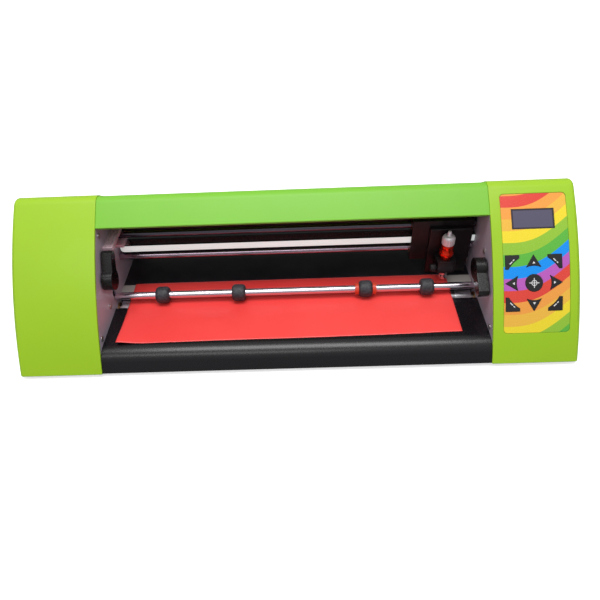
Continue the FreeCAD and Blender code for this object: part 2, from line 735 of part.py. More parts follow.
# ---------------------------------------------------------------------------------------------
# Base, feet and media bed
# ---------------------------------------------------------------------------------------------
def foundation():
    room = "(cover_wall + plate_gap)"
    plate = box(
        f"-{OUTER} + {room}",
        f"{OUTER} - {room}",
        f"{FRONT} + {room} + 2",
        f"{BACK} - {room}",
        UNDER,
        BASE_TOP,
    )
    half = "motor_size / 2"
    tab = box(
        f"{FEED_BELT_X} - 6",
        f"{FEED_BELT_X} - 4",
        f"feed_motor_y - {half} - 2",
        f"feed_motor_y + {half} + 2",
        f"{UNDER} + 0.5",
        f"feed_motor_z + {half} + 1",
    )
    centre = {"y": "feed_motor_y", "z": "feed_motor_z"}
    hole = rod("X", f"{FEED_BELT_X} - 7", f"{FEED_BELT_X} - 3", "motor_boss + running_fit", **centre)
    node(fuse(plate, cut(tab, hole)), "base_plate")

    feet = []
    for x in (f"{OUTER} - 36", f"-{OUTER} + 36"):
        for y in (f"{FRONT} + 24", f"{BACK} - 24"):
            foot = doc.addObject("Part::Cone", "Foot")
            bind(foot, Radius1="6.5", Radius2="8", Height=UNDER)
            feet.append(move(foot, x, y, "0"))
    node(group(*feet), "rubber_feet")

    room = (f"-{SIDE}", SIDE)
    wide = (f"-{SIDE} - 1", f"{SIDE} + 1")
    outer = common(
        casing_solid("sheet_inset", *room), box(*room, f"{FRONT} - 1", "gap_front", UNDER, "bed_height")
    )
    inner = common(
        casing_solid("sheet_inset + platen_wall", *wide),
        box(*wide, f"{FRONT} - 1", "gap_front - platen_wall", f"{UNDER} - 1", "bed_height - platen_wall"),
    )
    bed = size("bed_height")
    front = size(FRONT) + 40
    outer = rounded(
        outer,
        "platen_edge_radius",
        lambda at, way: abs(way.x) > 0.9 and abs(at.z - bed) < 0.01 and at.y < front,
    )
    inner = rounded(
        inner,
        "platen_edge_radius - platen_wall",
        lambda at, way: abs(way.x) > 0.9 and abs(at.z - bed + size("platen_wall")) < 0.01 and at.y < front,
    )
    above_base = box(*wide, f"{FRONT} + 5", "gap_front + 1", f"{UNDER} - 1", BASE_TOP)
    node(cut(outer, inner, above_base), "front_platen")

    back = REAR_PLATEN_BACK
    slab = box(*room, "gap_back", back, BASE_TOP, "bed_height")
    slab = rounded(
        slab, "3", lambda at, way: abs(way.x) > 0.9 and abs(at.z - bed) < 0.01 and at.y > size("gap_back") + 1
    )
    under = box(
        *wide, "gap_back + platen_wall", f"{back} - platen_wall", f"{BASE_TOP} - 1", "bed_height - platen_wall"
    )
    strip = (*room, "strip_front", "strip_front + strip_width", "bed_height - strip_depth", "bed_height")
    groove = box(*wide, *strip[2:5], "bed_height + 1")
    node(cut(slab, under, groove), "rear_platen")
    node(box(*strip), "cutting_strip")

    corners = (
        (MEDIA_LEFT, "media_front_left"),
        (MEDIA_RIGHT, "media_front_right"),
        (MEDIA_RIGHT, "media_back"),
        (MEDIA_LEFT, "media_back"),
    )
    film = padded("vinyl_sheet", "XY_Plane", "bed_height + media_lift", corners, "media_thickness")
    node(film, "vinyl_sheet")


# ---------------------------------------------------------------------------------------------
# Drive roller, feed motor and toothed belts
# ---------------------------------------------------------------------------------------------
def belt_loop(name, first, second, radius_one, radius_two, to_world, width):
    """A flat loop round two pulleys: two arcs and their outer tangents, grown by the belt's thickness."""

    def loop(extra):
        a, b = radius_one + extra, radius_two + extra
        way = second - first
        distance = way.Length
        way = way / distance
        side = V(-way.y, way.x, 0)
        lean = math.asin((a - b) / distance)
        out_up = way * math.sin(lean) + side * math.cos(lean)
        out_down = way * math.sin(lean) - side * math.cos(lean)
        edges = [
            Part.makeLine(first + out_up * a, second + out_up * b),
            Part.Arc(second + out_up * b, second + way * b, second + out_down * b).toShape(),
            Part.makeLine(second + out_down * b, first + out_down * a),
            Part.Arc(first + out_down * a, first - way * a, first + out_up * a).toShape(),
        ]
        return Part.Face(Part.Wire(edges))

    gap = size("belt_gap")
    ring = loop(gap + size("belt_thickness")).cut(loop(gap))
    item = doc.addObject("Part::Feature", name)
    item.Shape = ring.extrude(V(0, 0, width))
    item.Placement = to_world
    return node(item, name)


def stepping_motor(name, axis, end, way, **centre):
    """A square motor body behind its mounting face at end, with boss and shaft pointing along way."""
    half = "motor_size / 2"
    sides = {"X": ("y", "z"), "Z": ("x", "y")}[axis]
    limits = {one: (f"{centre[one]} - {half}", f"{centre[one]} + {half}") for one in sides}
    if way > 0:
        limits[axis.lower()] = (f"{end} - motor_length", end)
        boss = (f"{end} - 1", f"{end} + 1.6")
        shaft = (f"{end} - 1", f"{end} + motor_shaft_length")
    else:
        limits[axis.lower()] = (end, f"{end} + motor_length")
        boss = (f"{end} - 1.6", f"{end} + 1")
        shaft = (f"{end} - motor_shaft_length", f"{end} + 1")
    case = box(*limits["x"], *limits["y"], *limits["z"])
    case = rounded(case, "4", lambda at, direction: abs(getattr(direction, axis.lower())) > 0.9)
    parts = [case, rod(axis, *boss, "motor_boss", **centre), rod(axis, *shaft, "motor_shaft", **centre)]
    return node(fuse(*parts), name)


def feed_drive():
    barrel = f"({SIDE} - drive_end_gap)"
    left = f"({FEED_BELT_X} - 1)"
    right = f"({PLATE_OUT} + 1.5)"
    section = (
        (left, "0"),
        (left, "journal_radius"),
        (f"-{barrel}", "journal_radius"),
        (f"-{barrel}", "drive_radius"),
        (barrel, "drive_radius"),
        (barrel, "journal_radius"),
        (right, "journal_radius"),
        (right, "0"),
    )
    roller = turned("drive_roller", "XY_Plane", "H_Axis", section)
    node(move(roller, "0", "roller_y", DRIVE_Z), "drive_roller")

    bushes = []
    centre = {"y": "roller_y", "z": DRIVE_Z}
    for side in (-1, 1):
        inner = f"{SIDE} - 1.5"
        sleeve = rod("X", *span(side, inner, f"{PLATE_OUT} + 1"), "journal_radius + bush_wall", **centre)
        rim = rod("X", *span(side, inner, SIDE), "journal_radius + bush_wall + 1.5", **centre)
        bore_ends = span(side, f"{SIDE} - 5", f"{PLATE_OUT} + 5")
        bushes.append(cut(fuse(sleeve, rim), rod("X", *bore_ends, "journal_radius + running_fit", **centre)))
    node(group(*bushes), "roller_bushes")

    wide = (FEED_BELT_X, f"{FEED_BELT_X} + feed_belt_width")
    wider = (f"{FEED_BELT_X} - 1", f"{FEED_BELT_X} + feed_belt_width + 1")
    pulley = rod("X", *wide, "feed_pulley_radius", **centre)
    bore = rod("X", *wider, "journal_radius", **centre)
    node(cut(pulley, bore), "feed_pulley")
    pulley = rod("X", *wide, "feed_motor_pulley_radius", y="feed_motor_y", z="feed_motor_z")
    bore = rod("X", *wider, "motor_shaft + running_fit", y="feed_motor_y", z="feed_motor_z")
    node(cut(pulley, bore), "feed_motor_pulley")
    stepping_motor("feed_motor", "X", f"{FEED_BELT_X} - 6", 1, y="feed_motor_y", z="feed_motor_z")
    belt_loop(
        "feed_belt",
        V(size("roller_y"), size(DRIVE_Z), 0),
        V(size("feed_motor_y"), size("feed_motor_z"), 0),
        size("feed_pulley_radius"),
        size("feed_motor_pulley_radius"),
        FreeCAD.Placement(V(size(FEED_BELT_X), 0, 0), ACROSS),
        size("feed_belt_width"),
    )


# ---------------------------------------------------------------------------------------------
# Pinch shaft, rollers, holders and levers
# ---------------------------------------------------------------------------------------------
PINCH_PLACES = (
    f"(pinch_outer_left - {SIDE})",
    f"(pinch_inner_left - {SIDE})",
    f"({SIDE} - pinch_inner_right)",
    f"({SIDE} - pinch_outer_right)",
)


def pinch_set():
    reach = f"({PLATE_OUT} + 2 * holder_thickness)"
    node(rod("X", f"-{reach}", reach, "shaft_radius", y="roller_y", z=PINCH_Z), "pinch_shaft")
    bore = rod("X", f"-{reach} - 1", f"{reach} + 1", "shaft_radius + running_fit", y="roller_y", z=PINCH_Z)
    for number, x in enumerate(PINCH_PLACES, 1):
        half = "pinch_width / 2"
        tyre = rod("X", f"{x} - {half}", f"{x} + {half}", "pinch_radius", y="roller_y", z=PINCH_Z)
        doc.recompute()
        soft = doc.addObject("Part::Fillet", "Tyre")
        soft.Base = tyre
        soft.Edges = [
            (k, 1.2, 1.2) for k, edge in enumerate(tyre.Shape.Edges, 1) if isinstance(edge.Curve, Part.Circle)
        ]
        node(cut(soft, bore), f"pinch_roller_{number}")
    x = PINCH_PLACES[2]
    collars = [
        cut(rod("X", start, end, "collar_radius", y="roller_y", z=PINCH_Z), bore)
        for start, end in (
            (f"{x} - pinch_width / 2 - collar_width", f"{x} - pinch_width / 2"),
            (f"{x} + pinch_width / 2", f"{x} + pinch_width / 2 + collar_width"),
        )
    ]
    node(group(*collars), "roller_collars")

    holders = []
    for side in (-1, 1):
        near, far = f"{PLATE_OUT} + 1", f"{PLATE_OUT} + 1 + holder_thickness"
        x0, x1 = span(side, near, far)
        low = box(x0, x1, "roller_y - 8", "roller_y + 8", f"{PINCH_Z} - 8", f"{PINCH_Z} + 14")
        high = box(x0, x1, f"{LEVER_Y} - 11", f"{LEVER_Y} + 10.2", f"{PINCH_Z} + 10", "lever_rise + 10")
        window = box(
            f"{x0} - 1",
            f"{x1} + 1",
            f"{LEVER_Y} - 8",
            f"{LEVER_Y} + 8",
            "lever_rise - cam_radius - cam_offset - pinch_lift - 1",
            "lever_rise + cam_radius + cam_offset + 1",
        )
        holders.append(cut(fuse(low, high), window, bore))
    node(group(*holders), "pinch_holders")


def lever(side, name, rest_angle):
    """Hub with a tapering handle, a pin through the side plate and a cam disc behind it."""
    tip, root = "5.5", "7.5"
    handle = (
        ("0", f"-{root}"),
        ("lever_reach - 3", f"-{tip}"),
        ("lever_reach", f"-{tip} + 3"),
        ("lever_reach", f"{tip} - 3"),
        ("lever_reach - 3", tip),
        ("0", root),
    )
    near, far = f"{SIDE} - lever_gap - lever_thickness", f"{SIDE} - lever_gap"
    x0, x1 = span(side, near, far)
    arm = padded(name + "_arm", "YZ_Plane", x0, handle, "lever_thickness")
    hub = rod("X", x0, x1, "lever_hub")
    pin = rod("X", *span(side, f"{SIDE} - 3", f"{PLATE_OUT} + 1 + holder_thickness"), "lever_pin")
    cam = rod(
        "X",
        *span(side, f"{PLATE_OUT} + 1.3", f"{PLATE_OUT} + 0.7 + holder_thickness"),
        "cam_radius",
        y="-cam_offset",
    )
    grip = rounded(fuse(arm, hub), "1", lambda at, way: abs(at.x) < size(SIDE) - 5 and abs(way.x) < 0.1)
    whole = fuse(grip, pin, cam)
    whole.Placement = FreeCAD.Placement(V(), FreeCAD.Rotation(V(1, 0, 0), rest_angle))
    node(move(whole, "0", LEVER_Y, "lever_rise"), name)


# ---------------------------------------------------------------------------------------------
# Beam, guide rods, carriage belt and its motor
# ---------------------------------------------------------------------------------------------
def guide():
    room = (f"-{SIDE}", SIDE)
    wide = (f"-{SIDE} - 1", f"{SIDE} + 1")
    back = "beam_front + beam_depth"
    tube = cut(
        box(*room, "beam_front", back, "beam_bottom", "beam_top"),
        box(
            *wide,
            "beam_front + beam_wall",
            f"{back} - beam_wall",
            "beam_bottom + beam_wall",
            "beam_top - beam_wall",
        ),
    )
    node(tube, "carriage_beam")
    for name, z in (("lower_guide_rod", "lower_rod_z"), ("upper_guide_rod", "upper_rod_z")):
        node(rod("X", f"-{PLATE_OUT}", PLATE_OUT, "shaft_radius", y="rod_y", z=z), name)

    belt_top = "(belt_z + belt_width)"
    bar_low = "(upper_rod_z + shaft_radius + 0.5)"
    bar = box(f"-{SIDE}", f"-{SIDE} + 10.5", "rod_y - 36", "beam_front", bar_low, f"{bar_low} + 4")
    holes = [
        rod("Z", f"{bar_low} + 2", f"{bar_low} + 5", "0.8", f"-{SIDE} + {x}", f"rod_y + {y}")
        for x in (3, 7.5)
        for y in range(-33, 8, 4)
    ]
    shelf_low = f"{belt_top} + 2.5"
    riser = box(f"-{SIDE}", f"-{SIDE} + 3", "rod_y - 12", "rod_y - 4.5", shelf_low, f"{bar_low} + 2")
    shelf = box(f"-{SIDE}", f"-{SIDE} + 13", "rod_y - 12", "beam_front", shelf_low, f"{shelf_low} + 4")
    pin = rod("Z", "belt_z - 1.5", f"{belt_top} + 3", "1.5", IDLER_X, "rod_y")
    node(fuse(cut(bar, *holes), riser, shelf, pin), "idler_bar")

    for name, x, bore in (
        ("idler_pulley", IDLER_X, "1.5 + running_fit"),
        ("carriage_motor_pulley", CARRIAGE_MOTOR_X, "motor_shaft + running_fit"),
    ):
        wheel = rod("Z", "belt_z - 0.5", f"{belt_top} + 0.5", "belt_pulley_radius", x, "rod_y")
        node(cut(wheel, rod("Z", "belt_z - 2", f"{belt_top} + 2", bore, x, "rod_y")), name)
    stepping_motor("carriage_motor", "Z", MOTOR_TOP, 1, x=CARRIAGE_MOTOR_X, y="rod_y")
    belt_loop(
        "carriage_belt",
        V(size(IDLER_X), size("rod_y"), 0),
        V(size(CARRIAGE_MOTOR_X), size("rod_y"), 0),
        size("belt_pulley_radius"),
        size("belt_pulley_radius"),
        FreeCAD.Placement(V(0, 0, size("belt_z")), FreeCAD.Rotation()),
        size("belt_width"),
    )


# ---------------------------------------------------------------------------------------------
# Carriage, lift unit and knife
# ---------------------------------------------------------------------------------------------
def carriage():
    x0, x1 = HOUSING_LEFT, f"({HOUSING_LEFT} + housing_width)"
    low = ("lower_rod_z - 10", "belt_z - 2")
    high = ("belt_z + belt_width + 2", "upper_rod_z + 10")
    web = box(x0, x1, "housing_front", "housing_front + web_thickness", low[0], high[1])
    blocks = [box(x0, x1, "housing_front", "housing_back", *limits) for limits in (low, high)]
    rods = ("lower_rod_z", "upper_rod_z")
    bores = [rod("X", f"{x0} - 1", f"{x1} + 1", "bush_radius", y="rod_y", z=z) for z in rods]
    node(cut(fuse(web, *blocks), *bores), "carriage_body")
    bushes = []
    for z in rods:
        for start, end in ((x0, f"{x0} + bush_length"), (f"{x1} - bush_length", x1)):
            ring = rod("X", start, end, "bush_radius", y="rod_y", z=z)
            hole = rod("X", f"{start} - 1", f"{end} + 1", "shaft_radius + running_fit", y="rod_y", z=z)
            bushes.append(cut(ring, hole))
    node(group(*bushes), "linear_bushes")

    ends = (HEAD_LEFT, f"{HEAD_LEFT} + head_width")
    case = box(*ends, "head_front", "housing_front", "bed_height + head_gap", "head_top")
    case = rounded(case, "1.2", lambda at, way: abs(at.y - size("head_front")) < 0.01)
    node(case, "lift_unit")

    centre = {"x": TOOL_X, "y": "tool_y"}
    clamp = box(f"{TOOL_X} - 10", f"{TOOL_X} + 10", "tool_y - 8.5", "head_front - 0.3", "41", "56")
    clamp = rounded(clamp, "2", lambda at, way: abs(way.z) > 0.9 and at.y < size("tool_y"))
    bore = rod("Z", "38", "57", "tool_radius + tool_fit", **centre)
    slit = box(f"{TOOL_X} - 11", TOOL_X, "tool_y - 0.6", "tool_y + 0.6", "38", "57")
    hole = rod("X", f"{TOOL_X} - 11", f"{TOOL_X} - 7", "2", y="tool_y - 6.5", z="47.5")
    node(cut(clamp, bore, slit, hole), "tool_clamp")

    nose = "(bed_height + nose_gap)"
    section = (
        ("knife_radius + running_fit", nose),
        ("3", nose),
        ("4.9", f"{nose} + 2"),
        ("4.9", "39"),
        ("tool_radius", "40"),
        ("tool_radius", "57"),
        ("7.2", "61"),
        ("7.7", "62"),
        ("7.7", "65"),
        ("6.6", "66"),
        ("6.6", "74.5"),
        ("3.4", "74.5"),
        ("3.4", "70"),
        ("knife_radius + running_fit", "70"),
    )
    holder = turned("blade_holder", "XZ_Plane", "V_Axis", section)
    node(move(holder, TOOL_X, "tool_y"), "blade_holder")
    section = (
        ("0", "71"),
        ("3.3", "71"),
        ("3.3", "74.8"),
        ("6.2", "74.8"),
        ("cap_radius", "76"),
        ("cap_radius", "84"),
        ("5.2", "86"),
        ("2.2", "86.6"),
        ("2.2", "91"),
        ("1.6", "92"),
        ("0", "92"),
    )
    cap = turned("blade_cap", "XZ_Plane", "V_Axis", section)
    node(move(cap, TOOL_X, "tool_y"), "blade_cap")
    section = (
        ("0", f"{nose} - 0.1"),
        ("0.25", f"{nose} - 0.1"),
        ("knife_radius", f"{nose} + 1.6"),
        ("knife_radius", "69.5"),
        ("0", "69.5"),
    )
    knife = turned("knife_blade", "XZ_Plane", "V_Axis", section)
    node(move(knife, TOOL_X, "tool_y"), "knife_blade")

    stem = rod("X", f"{TOOL_X} - 13", f"{TOOL_X} - 7.5", "1.9", y="tool_y - 6.5", z="47.5")
    grip = rod("X", f"{TOOL_X} - 17.5", f"{TOOL_X} - 10.8", "4.5", y="tool_y - 6.5", z="47.5")
    node(fuse(stem, grip), "clamp_knob")


# ---------------------------------------------------------------------------------------------
# Electronics, rear connectors and screws
# ---------------------------------------------------------------------------------------------
def electronics():
    x0, x1 = f"{PLATE_OUT} + 13", f"{OUTER} - 10"
    y0, y1 = f"{FRONT} + 30", "-2"
    board = box(x0, x1, y0, y1, "12", "13.6")
    legs = [
        rod("Z", BASE_TOP, "12.2", "2.5", x, y)
        for x in (f"{x0} + 4", f"{x1} - 4")
        for y in (f"{y0} + 4", f"{y1} - 4")
    ]
    parts = [
        box(f"{x0} + 10", f"{x0} + 28", f"{y0} + 34", f"{y0} + 52", "13.5", "16"),
        box(f"{x0} + 38", f"{x0} + 52", f"{y0} + 12", f"{y0} + 26", "13.5", "17"),
        rod("Z", "13.5", "21", "5", f"{x0} + 14", f"{y0} + 18"),
        rod("Z", "13.5", "21", "5", f"{x0} + 26", f"{y0} + 18"),
    ]
    node(fuse(board, *legs, *parts), "main_board")
    supply = box(f"-{OUTER} + 8", f"-{PLATE_OUT} - 23", f"{FRONT} + 34", "-2", BASE_TOP, "40")
    vents = [
        box(f"-{OUTER} + 16", f"-{PLATE_OUT} - 31", f"{FRONT} + {y}", f"{FRONT} + {y + 3}", "38", "41")
        for y in range(44, 92, 8)
    ]
    node(cut(supply, *vents), "power_supply")

    wall = f"{BACK} - cover_wall"
    half_high = "inlet_height / 2"

    def flanged(x, width, depth):
        case = box(
            f"{x} - {width} / 2 + 0.2",
            f"{x} + {width} / 2 - 0.2",
            f"{BACK} - {depth}",
            f"{BACK} - 0.4",
            f"inlet_z - {half_high} + 0.2",
            f"inlet_z + {half_high} - 0.2",
        )
        return case

    def pivot(reach, radius):
        """The rocker's pivot pin or its hole, to both sides of the switch's middle."""
        ends = (f"{SWITCH_X} - ({reach})", f"{SWITCH_X} + {reach}")
        return rod("X", *ends, radius, y=f"{BACK} - 6", z="inlet_z")

    rim = box(
        f"{INLET_X} - inlet_width / 2 - 3",
        f"{SWITCH_X} + switch_width / 2 + 3",
        f"{wall} - 2",
        wall,
        f"inlet_z - {half_high} - 3",
        f"inlet_z + {half_high} + 3",
    )
    mouth = box(
        f"{INLET_X} - inlet_width / 2 + 1.7",
        f"{INLET_X} + inlet_width / 2 - 1.7",
        f"{BACK} - 16",
        f"{BACK} + 1",
        f"inlet_z - {half_high} + 1.7",
        f"inlet_z + {half_high} - 1.7",
    )
    pocket = box(
        f"{SWITCH_X} - switch_width / 2 + 1.2",
        f"{SWITCH_X} + switch_width / 2 - 1.2",
        f"{BACK} - 10",
        f"{BACK} + 1",
        f"inlet_z - {half_high} + 1.2",
        f"inlet_z + {half_high} - 1.2",
    )
    pins = [
        box(
            f"{INLET_X} + {x} - 1",
            f"{INLET_X} + {x} + 1",
            f"{BACK} - 17",
            f"{BACK} - 4",
            f"inlet_z + {z} - 2",
            f"inlet_z + {z} + 2",
        )
        for x, z in ((-7, -1), (0, 2), (7, -1))
    ]
    case = fuse(flanged(INLET_X, "inlet_width", 22), flanged(SWITCH_X, "switch_width", 14), rim)
    module = cut(case, mouth, pocket, pivot("switch_width / 2 - 0.5", "rocker_pivot + running_fit"))
    node(fuse(module, *pins), "power_inlet")
    rocker = padded(
        "power_rocker",
        "YZ_Plane",
        f"{SWITCH_X} - switch_width / 2 + 1.6",
        (
            (f"{BACK} - 8.4", "inlet_z - 3"),
            (f"{BACK} - 2.2", f"inlet_z - {half_high} + 2.4"),
            (f"{BACK} - 3.0", "inlet_z"),
            (f"{BACK} - 0.6", f"inlet_z + {half_high} - 2.4"),
            (f"{BACK} - 8.4", "inlet_z + 3"),
        ),
        "switch_width - 3.2",
    )
    node(fuse(rocker, pivot("switch_width / 2 - 0.6", "rocker_pivot")), "power_switch")

    body_box = box(
        f"{SOCKET_X} - socket_width / 2 + 0.2",
        f"{SOCKET_X} + socket_width / 2 - 0.2",
        f"{BACK} - 18",
        f"{BACK} - 0.6",
        "inlet_z - socket_height / 2 + 0.2",
        "inlet_z + socket_height / 2 - 0.2",
    )
    mouth = box(
        f"{SOCKET_X} - socket_width / 2 + 1.7",
        f"{SOCKET_X} + socket_width / 2 - 1.7",
        f"{BACK} - 12",
        f"{BACK} + 1",
        "inlet_z - socket_height / 2 + 1.7",
        "inlet_z + socket_height / 2 - 1.7",
    )
    ends = (f"{SOCKET_X} - 11", f"{SOCKET_X} + 11")
    flange = box(*ends, f"{wall} - 1.6", wall, "inlet_z - 10", "inlet_z + 10")
    across = (f"{SOCKET_X} - 2.5", f"{SOCKET_X} + 2.5")
    tongue = box(*across, f"{BACK} - 13", f"{BACK} - 4", "inlet_z - 1.5", "inlet_z + 1.5")
    node(fuse(cut(fuse(body_box, flange), mouth), tongue), "data_socket")


def screw(side, y, z):
    """A pan-head screw through a side plate, its head on the inner face."""
    shank = rod("X", *span(side, f"{SIDE} - 0.5", f"{PLATE_OUT} + 8"), "screw_radius", y=y, z=z)
    head = rod("X", *span(side, f"{SIDE} - screw_head_height", SIDE), "screw_head", y=y, z=z)
    return fuse(head, shank)


casing()
keypad()
foundation()
feed_drive()
pinch_set()
lever(-1, "left_lever", 55)
lever(1, "right_lever", 207)
guide()
carriage()
electronics()
screws = [screw(-1, y, z) for y, z in (*LEFT_BOSSES, LEFT_EXTRA_SCREW)]
screws += [screw(1, y, z) for y, z in RIGHT_BOSSES]
node(group(*screws), "side_plate_screws")

# ---------------------------------------------------------------------------------------------
# Check every object, then write each piece
# ---------------------------------------------------------------------------------------------
doc.recompute()
for item in doc.Objects:
    if "Invalid" in item.State or "Error" in item.State:
        raise RuntimeError(f"{item.Name} ({item.Label}) could not be made: {item.State}")
for item in NODES:
    if item.Shape.isNull() or not item.Shape.isValid() or not item.Shape.Solids:
        raise RuntimeError(f"{item.Label} is not a valid solid")
os.makedirs("parts", exist_ok=True)
for item in NODES:
    item.Shape.exportStep(f"parts/{item.Label}.step")
print(len(NODES), "pieces written")
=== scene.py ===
import math

import bpy
import numpy as np
from mathutils import Matrix, Vector


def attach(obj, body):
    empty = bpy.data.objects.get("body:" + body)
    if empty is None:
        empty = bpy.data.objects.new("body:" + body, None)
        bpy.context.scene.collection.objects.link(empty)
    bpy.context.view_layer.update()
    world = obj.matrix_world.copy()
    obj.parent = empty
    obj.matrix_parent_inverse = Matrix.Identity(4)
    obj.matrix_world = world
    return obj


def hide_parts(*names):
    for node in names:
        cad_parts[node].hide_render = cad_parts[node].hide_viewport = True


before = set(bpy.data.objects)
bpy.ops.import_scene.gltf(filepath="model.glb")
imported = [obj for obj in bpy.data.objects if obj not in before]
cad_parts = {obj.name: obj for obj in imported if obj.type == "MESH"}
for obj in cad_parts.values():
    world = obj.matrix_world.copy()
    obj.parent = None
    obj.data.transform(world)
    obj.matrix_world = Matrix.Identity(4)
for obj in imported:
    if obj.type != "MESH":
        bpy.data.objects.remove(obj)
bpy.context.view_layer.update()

# ---- Table, light and viewpoint ---------------------------------------------------------------
# The machine stands on a plain white table top under a broad lamp overhead, a weaker one in front
# and a sky that is bright above and dull at the horizon. It is seen from the front and above.
camera_place = Vector((0.02068, -0.46279, 0.43678))
camera_pitch, camera_heading, camera_tilt = math.radians(43.12), math.radians(1.96), math.radians(3.11)
camera = bpy.data.objects.new("camera", bpy.data.cameras.new("camera"))
camera.data.sensor_width = 36.0
camera.data.lens = 32.4
camera.data.clip_start = 0.01
camera.matrix_world = (
    Matrix.Translation(camera_place)
    @ Matrix.Rotation(camera_heading, 4, "Z")
    @ Matrix.Rotation(math.pi / 2 - camera_pitch, 4, "X")
    @ Matrix.Rotation(-camera_tilt, 4, "Z")
)
scene = bpy.context.scene
scene.collection.objects.link(camera)
scene.camera = camera
scene.view_settings.view_transform = "Standard"


class Wiring:
    """Adds nodes to a tree; sockets are given by name as values, or as other sockets to link."""

    def __init__(self, tree):
        self.tree = tree

    def add(self, kind, settings=None, **sockets):
        node = self.tree.nodes.new("ShaderNode" + kind)
        for key, value in (settings or {}).items():
            setattr(node, key, value)
        for key, value in sockets.items():
            self.feed(node.inputs[int(key[1:]) if key[0] == "_" else key.replace("_", " ")], value)
        return node

    def feed(self, socket, value):
        if isinstance(value, bpy.types.NodeSocket):
            self.tree.links.new(value, socket)
        else:
            socket.default_value = value

    def math(self, operation, first, second=0.5, clamp=False):
        return self.add("Math", {"operation": operation, "use_clamp": clamp}, _0=first, _1=second).outputs[0]

    def blend(self, factor, first, second, kind="MIX"):
        mix = self.add("Mix", {"data_type": "RGBA", "blend_type": kind}, _0=factor, _6=first, _7=second)
        return mix.outputs[2]

    def ramp(self, value, low, high, low_out=0.0, high_out=1.0):
        return self.add("MapRange", None, _0=value, _1=low, _2=high, _3=low_out, _4=high_out).outputs[0]


sky = bpy.data.worlds.new("sky")
sky.use_nodes = True
scene.world = sky
make = Wiring(sky.node_tree)
upward = make.add("SeparateXYZ", None, _0=make.add("NewGeometry").outputs["Incoming"]).outputs[2]
glow = make.ramp(make.math("MULTIPLY", upward, -1.0), -0.05, 0.8, 0.22, 0.62)
seen = make.add("LightPath").outputs["Is Camera Ray"]
shown = make.math("ADD", make.math("MULTIPLY", glow, make.math("SUBTRACT", 1.0, seen)), seen)
make.feed(sky.node_tree.nodes["Background"].inputs["Color"], (1.0, 0.99, 1.0, 1.0))
make.feed(sky.node_tree.nodes["Background"].inputs["Strength"], shown)


def lamp(name, place, target, size, power):
    """An area lamp of the given edge lengths, turned so that it faces the target."""
    light = bpy.data.lights.new(name, "AREA")
    light.shape = "RECTANGLE"
    light.size, light.size_y = size
    light.energy = power
    holder = bpy.data.objects.new(name, light)
    way = Vector(target) - Vector(place)
    holder.matrix_world = Matrix.Translation(place) @ way.to_track_quat("-Z", "Y").to_matrix().to_4x4()
    scene.collection.objects.link(holder)
    return holder


lamp("ceiling", (-0.02, -0.15, 1.35), (0.0, -0.02, 0.03), (1.1, 0.5), 11.5)
lamp("window", (-0.3, -0.9, 1.15), (-0.05, 0.0, 0.05), (0.9, 0.25), 2.3)

table_mesh = bpy.data.meshes.new("table")
table_mesh.from_pydata([(-4, -4, 0), (4, -4, 0), (4, 4, 0), (-4, 4, 0)], [], [(0, 1, 2, 3)])
table = bpy.data.objects.new("table", table_mesh)
scene.collection.objects.link(table)
table_top = bpy.data.materials.new("table top")
table_top.use_nodes = True
make = Wiring(table_top.node_tree)
seen = make.add("LightPath").outputs["Is Camera Ray"]
shader = table_top.node_tree.nodes["Principled BSDF"]
make.feed(shader.inputs["Base Color"], make.blend(seen, (0.42, 0.42, 0.43, 1.0), (0.9, 0.9, 0.9, 1.0)))
make.feed(shader.inputs["Emission Color"], (1.0, 1.0, 1.0, 1.0))
make.feed(shader.inputs["Emission Strength"], make.math("MULTIPLY", seen, 0.55))
shader.inputs["Roughness"].default_value = 0.9
table_mesh.materials.append(table_top)


# ---- Moulded end covers -----------------------------------------------------------------------
# Two ABS mouldings in yellow-green, gloss with a faint orange peel; they close the ends of the
# casing and are screwed on from inside through the side plates.
def shader_group(name, inputs, outputs, build):
    """A node group whose named inputs are numbers; build wires them to the named outputs."""
    tree = bpy.data.node_groups.new(name, "ShaderNodeTree")
    for label, value in inputs:
        socket = tree.interface.new_socket(label, in_out="INPUT", socket_type="NodeSocketFloat")
        socket.default_value = value
    for label, kind in outputs:
        tree.interface.new_socket(label, in_out="OUTPUT", socket_type=kind)
    entry = tree.nodes.new("NodeGroupInput")
    leave = tree.nodes.new("NodeGroupOutput")
    build(Wiring(tree), entry.outputs, leave.inputs)
    return tree


def build_grain(make, given, out):
    """Height of a fine random grain, and a slow cloudy tone, both on the object's own coordinates."""
    place = make.add("TexCoord").outputs["Object"]
    fine = make.add("TexNoise", None, Vector=place, Scale=given["Scale"], Detail=3.0, Roughness=0.6)
    slow = make.add("TexNoise", None, Vector=place, Scale=given["Cloud"], Detail=2.0)
    make.feed(out["Height"], fine.outputs[0])
    make.feed(out["Tone"], make.ramp(slow.outputs[0], 0.3, 0.7))


grain_group = shader_group(
    "fine grain",
    (("Scale", 900.0), ("Cloud", 14.0)),
    (("Height", "NodeSocketFloat"), ("Tone", "NodeSocketFloat")),
    build_grain,
)


def build_edges(make, given, out):
    """Normal of an edge rounded by Radius, and a mask that is 1 where that normal leaves the face."""
    soft = make.add("Bevel", {"samples": 4}, Radius=given["Radius"])
    flat = make.add("NewGeometry").outputs["Normal"]
    facing = make.add("VectorMath", {"operation": "DOT_PRODUCT"}, _0=soft.outputs[0], _1=flat)
    make.feed(out["Normal"], soft.outputs[0])
    make.feed(out["Edge"], make.ramp(facing.outputs["Value"], 0.995, 0.90))


edge_group = shader_group(
    "soft edges",
    (("Radius", 0.0006),),
    (("Normal", "NodeSocketVector"), ("Edge", "NodeSocketFloat")),
    build_edges,
)


